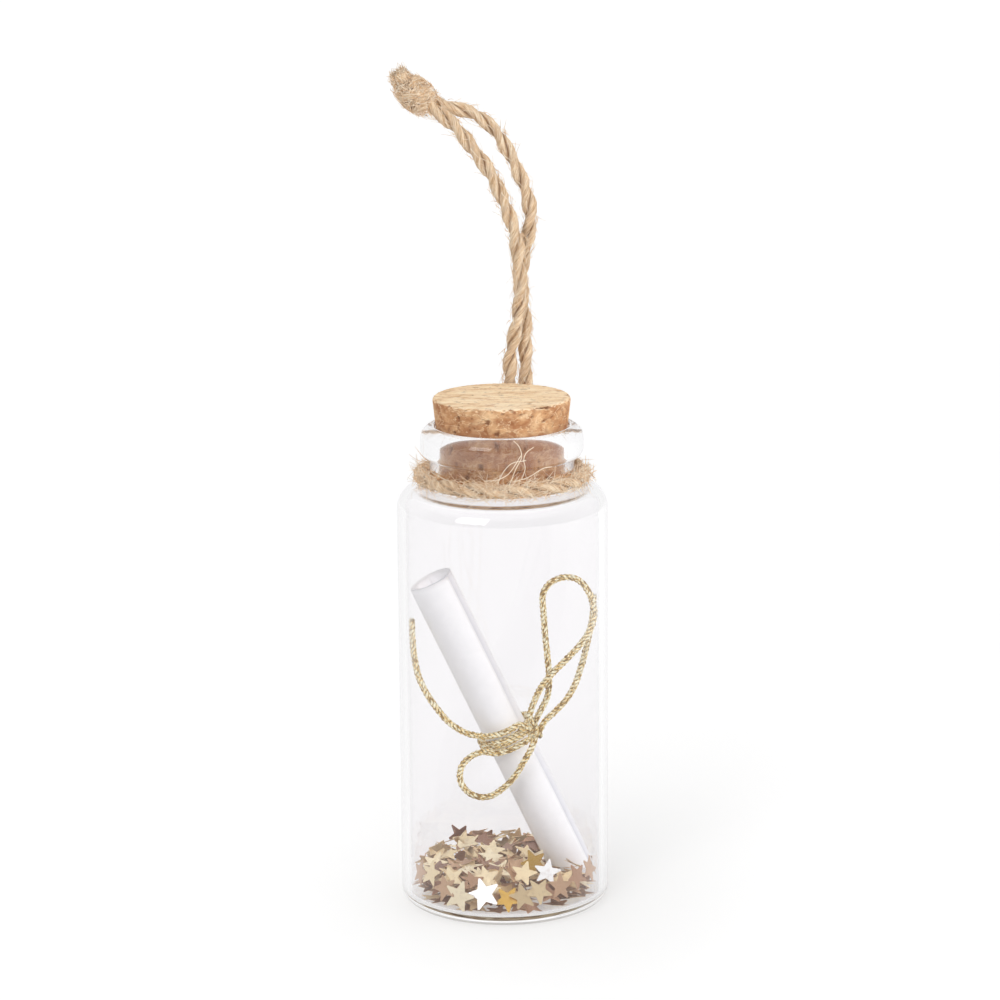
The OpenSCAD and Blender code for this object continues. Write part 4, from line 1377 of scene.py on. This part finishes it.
@dataclass
class Confetti:
    """The heap of foil stars, laid one on another from the floor up."""

    note: Note
    star_r: float = 2.0
    waist: float = 0.47
    thick: float = 0.05
    inner_r: float = 13.8
    floor_z: float = 1.35
    heel_r: float = 1.0
    count: int = 280
    bed_count: int = 70
    heap_top: float = 6.3
    cell: float = 0.25

    def build(self, foil: bpy.types.Material) -> None:
        """Lay the stars and make the five pieces that they are grouped in."""
        leaning = self._leaning()
        heap = self._heap(leaning)
        heap.sort(key=lambda p: p.middle.z)
        quarter = math.ceil(len(heap) / 4)
        groups = [heap[i * quarter : (i + 1) * quarter] for i in range(4)] + [leaning]
        names = ("bottom", "lower", "upper", "top", "standing")
        for name, group in zip(names, groups):
            draft = Draft()
            for placing in group:
                self._star(draft, placing)
            piece = draft.piece("foil_stars_" + name, foil, smooth=False)
            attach(piece, "vial")
            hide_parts("stars_" + name)

    def _outline(self, scale: float = 1.0) -> list[tuple[float, float]]:
        """Outline of a star with slightly blunt points."""
        out = []
        tip, dip = self.star_r * 0.97 * scale, self.star_r * self.waist * scale
        for k in range(5):
            a = math.radians(90 + 72 * k)
            out += [(tip * math.cos(a + da), tip * math.sin(a + da)) for da in (-0.055, 0.055)]
            b = a + math.radians(36)
            out.append((dip * math.cos(b), dip * math.sin(b)))
        return out

    def _star(self, draft: Draft, placing: Placing) -> None:
        """Draw one star, bent a little across."""

        def at(x: float, y: float, z: float) -> int:
            spot = Vector((x, y, z + placing.bend * x * x))
            tone = placing.shade if z > 0 else placing.back
            return draft.point((placing.middle + placing.turn @ spot) * MM, shade=tone)

        half = self.thick / 2
        levels = [self._outline(part * placing.size) for part in (1.0, 0.55, 0.22)]
        rims = []
        for z, flip in ((half, False), (-half, True)):
            rings = [[at(x, y, z) for x, y in level] for level in levels]
            middle = at(0, 0, z)
            for low, high in zip(rings, rings[1:]):
                for k in range(15):
                    n = (k + 1) % 15
                    face = (low[k], low[n], high[n], high[k])
                    draft.faces.append(tuple(reversed(face)) if flip else face)
            for k in range(15):
                face = (rings[-1][k], rings[-1][(k + 1) % 15], middle)
                draft.faces.append(tuple(reversed(face)) if flip else face)
            rims.append(rings[0])
        upper, lower = rims
        for k in range(15):
            n = (k + 1) % 15
            draft.faces.append((lower[k], lower[n], upper[n], upper[k]))

    def _samples(self) -> np.ndarray:
        """Spots spread over a star, for feeling what lies under it."""
        spots = []
        grid = np.arange(-2.0, 2.01, 0.22)
        ring = self._outline()
        for x in grid:
            for y in grid:
                inside = False
                for (x0, y0), (x1, y1) in zip(ring, ring[1:] + ring[:1]):
                    if (y0 > y) != (y1 > y) and x < (x1 - x0) * (y - y0) / (y1 - y0) + x0:
                        inside = not inside
                if inside:
                    spots.append((x, y))
        return np.array(spots + ring)

    def _ground(self) -> tuple[np.ndarray, np.ndarray]:
        """Heights of the bare floor and where stars may not lie."""
        size = int(2 * 14.5 / self.cell) + 1
        axis = np.linspace(-14.5, 14.5, size)
        x, y = np.meshgrid(axis, axis, indexing="ij")
        r = np.hypot(x, y)
        start = self.inner_r - self.heel_r
        rise = np.clip(r - start, 0, self.heel_r - 0.01)
        curve = np.where(r > start, self.heel_r - np.sqrt(self.heel_r**2 - rise**2), 0)
        return self.floor_z + 0.02 + curve, r > self.inner_r - 0.12

    def _roll_distance(self, spots: np.ndarray) -> np.ndarray:
        """Distance of spots from the note's axis, less the note's radius."""
        frame_ = self.note.axes()
        foot = np.array(frame_.translation)
        axis = np.array(frame_.to_3x3() @ Vector((0, 0, 1)))
        away = spots - foot
        along = away @ axis
        off = np.linalg.norm(away - np.outer(along, axis), axis=1)
        return np.maximum(off - self.note.radius - 0.1, -0.15 - along)

    @staticmethod
    def _facing(azimuth: float, rise: float, spin: float) -> Quaternion:
        """Turn a star to face a way, in degrees from the front and from level, with a spin of its own."""
        a, e = math.radians(azimuth), math.radians(rise)
        way = Vector((math.cos(e) * math.sin(a), -math.cos(e) * math.cos(a), math.sin(e)))
        return Vector((0, 0, 1)).rotation_difference(way) @ Quaternion((0, 0, 1), math.radians(spin))

    def _leaning(self) -> list[Placing]:
        """Stars that stand against the glass all round, and the few that lie across the heap in front."""
        dice = random.Random(23)
        # a shade of 1.0 makes a white star, a painted reflection
        seen = [(-13.5, 4.5, 22, 8, 1.0), (-29, 3.9, 10, 30, 0.74), (-40, 4.6, 16, -12, 0.35), (-52, 6.2, 14, 20, 0.62),
                (-64, 5.6, 10, 5, 0.3), (1.5, 3.7, 34, 40, 0.9), (11, 4.1, 24, 20, 0.45), (22, 4.6, 30, -20, 0.5),
                (36, 4.9, 16, 25, 0.3), (50, 5.7, 14, 0, 0.2), (63, 6.0, 12, 30, 0.3)]  # fmt: skip
        for k in range(11):
            around = 88 + k * 17.0 + dice.uniform(-4, 4)
            seen.append((around, dice.uniform(3.4, 4.7), dice.uniform(8, 24), dice.uniform(0, 72), dice.random() * 0.8))
        placings = []
        for angle, z, lean, spin, shade in seen:
            a = math.radians(angle)
            r = math.sqrt((self.inner_r - 0.1) ** 2 - self.star_r**2)
            r -= self.star_r * math.sin(math.radians(lean)) + 0.05
            middle = Vector((r * math.sin(a), -r * math.cos(a), z))
            turn = self._facing(angle, lean, spin)
            size = 1.2 if angle in (-13.5, -29) else 1.0
            back = dice.uniform(0.25, 0.7) if angle > 80 else 0.2
            placings.append(Placing(middle, turn, dice.uniform(-0.02, 0.02), shade, back, size))
        lying = [((5.9, -7.6, 6.1), -6, 38, -14, 1.0), ((4.1, -4.2, 6.4), 10, 24, 30, 0.9), ((-2.6, -8.6, 5.6), 8, 46, 20, 0.66),
                 ((2.6, -7.6, 5.9), -12, 42, 50, 0.6), ((-7.6, -8.0, 5.4), -24, 48, 10, 0.64)]  # fmt: skip
        for spot, azimuth, rise, spin, shade in lying:
            placings.append(Placing(Vector(spot), self._facing(azimuth, rise, spin), 0.0, shade, 0.2))
        return placings

    def _heap(self, leaning: list[Placing]) -> list[Placing]:
        """Drop the stars one after another, each onto what lies under it."""
        dice = random.Random(404)
        ground, barred = self._ground()
        samples = self._samples()
        shown = np.vstack([self._spots(p, samples[::3]) for p in leaning if p.shade >= 0.9])
        placings: list[Placing] = []
        tries = 0
        while len(placings) < self.count and tries < self.count * 12:
            tries += 1
            flat = len(placings) < self.bed_count
            best: tuple[float, Placing, np.ndarray] | None = None
            for _ in range(7):
                found = self._drop(dice, ground, barred, samples, flat, shown)
                if found and (best is None or found[0] < best[0]):
                    best = found
            if best is None or best[1].middle.z > self.heap_top:
                continue
            _, placing, spots = best
            i, j = self._cells(spots)
            middle = spots[:, 2].mean()
            pressed = middle + 0.45 * (spots[:, 2] - middle)
            np.maximum.at(ground, (i, j), pressed + self.thick / 2 + 0.02)
            placings.append(placing)
        LOG.info("confetti: %d stars in the heap, %d against the glass", len(placings), len(leaning))
        return placings

    def _cells(self, spots: np.ndarray) -> tuple[np.ndarray, np.ndarray]:
        """Cells of the height map under these spots."""
        found = np.rint((spots[:, :2] + 14.5) / self.cell).astype(int)
        return found[:, 0], found[:, 1]

    def _spots(self, placing: Placing, samples: np.ndarray) -> np.ndarray:
        """The samples of a star, where it lies."""
        turn = np.array(placing.turn.to_matrix())
        flat = np.column_stack([samples, placing.bend * samples[:, 0] ** 2])
        return flat @ turn.T + np.array(placing.middle)

    def _inside(self, spots: np.ndarray) -> bool:
        """Whether these spots all lie within the glass."""
        return bool(np.hypot(spots[:, 0], spots[:, 1]).max() < self.inner_r - 0.15)

    @staticmethod
    def _hides(spots: np.ndarray, shown: np.ndarray) -> bool:
        """Whether these spots cross the stars in full view or stand before them."""
        away = spots[::4, None, :] - shown[None, :, :]
        across = np.hypot(away[..., 0], away[..., 2] - 0.25 * away[..., 1])
        return bool(((across < 0.45) & (away[..., 1] < 0.5)).any())

    def _drop(
        self,
        dice: random.Random,
        ground: np.ndarray,
        barred: np.ndarray,
        samples: np.ndarray,
        flat: bool,
        shown: np.ndarray,
    ) -> tuple[float, Placing, np.ndarray] | None:
        """Try one star at a random place and tilt.

        Args:
            dice: The heap's own random numbers.
            ground: Height map of what lies there.
            barred: Cells that no star may touch.
            samples: Spots spread over a star.
            flat: Whether the star lies flat, as on the floor.
            shown: Spots on the stars that must stay in full view.

        Returns:
            The height, the placing and its spots, or None where it doesn't fit.
        """
        r = 12.7 * math.sqrt(dice.random())
        a = dice.uniform(0, TURN)
        x, y = r * math.cos(a), r * math.sin(a)
        spin = Quaternion((0, 0, 1), dice.uniform(0, TURN))
        usual = 4 if flat else (38 if r < 9.5 else 22)
        level = Vector((dice.uniform(-1, 1), dice.uniform(-1, 1), 0)).normalized()
        lean = Quaternion(level, math.radians(min(abs(dice.gauss(0, usual)), 74)))
        sides = [dice.uniform(0.42, 0.8), dice.uniform(0.0, 0.36)]
        # most bed stars lie brown side up: painted shade that darkens the bottom of the heap
        if dice.random() < (0.8 if flat else 0.52):
            sides.reverse()
        trial = Placing(Vector((x, y, 0)), lean @ spin, dice.choice((0, 0.06, -0.06, 0.14, -0.14)), *sides)
        spots = self._spots(trial, samples)
        if not self._inside(spots):
            return None
        i, j = self._cells(spots)
        table = np.column_stack([spots[:, 0] - x, spots[:, 1] - y, np.ones(len(spots))])
        slope, *_ = np.linalg.lstsq(table, ground[i, j], rcond=None)
        if float(np.hypot(slope[0], slope[1])) > 1.6:
            return None
        lay = Vector((0, 0, 1)).rotation_difference(Vector((-slope[0], -slope[1], 1)).normalized())
        trial.turn = lay @ trial.turn
        spots = self._spots(trial, samples)
        if not self._inside(spots):
            return None
        i, j = self._cells(spots)
        if barred[i, j].any():
            return None
        rise = float((ground[i, j] - spots[:, 2]).max()) + self.thick / 2 + 0.01
        trial.middle.z = rise
        spots = spots + np.array((0, 0, rise))
        if self._roll_distance(spots).min() < 0.12 or self._hides(spots, shown):
            return None
        return rise + 0.35 * dice.random(), trial, spots


def main() -> None:
    """Build the scene, piece by piece."""
    logging.basicConfig(level=logging.INFO, format="%(message)s")
    Viewpoint().build()
    yarn, fibre = JuteYarn().material(), JuteFibre().material()
    twine = JuteTwine()
    HangingLoop(twine, Vector((-11.7, 12.9, 115.1)) * MM).build(yarn, fibre)
    note = Note()
    GoldBow(note).build(GoldThread().material())
    note.build(WritingPaper().material())
    NeckTwine(twine).build(yarn, fibre)
    Vial().build(ClearGlass().material())
    Cork().build(CutCork().material())
    Confetti(note).build(StarFoil().material())
    Studio().build()


if __name__ == "__main__":
    main()
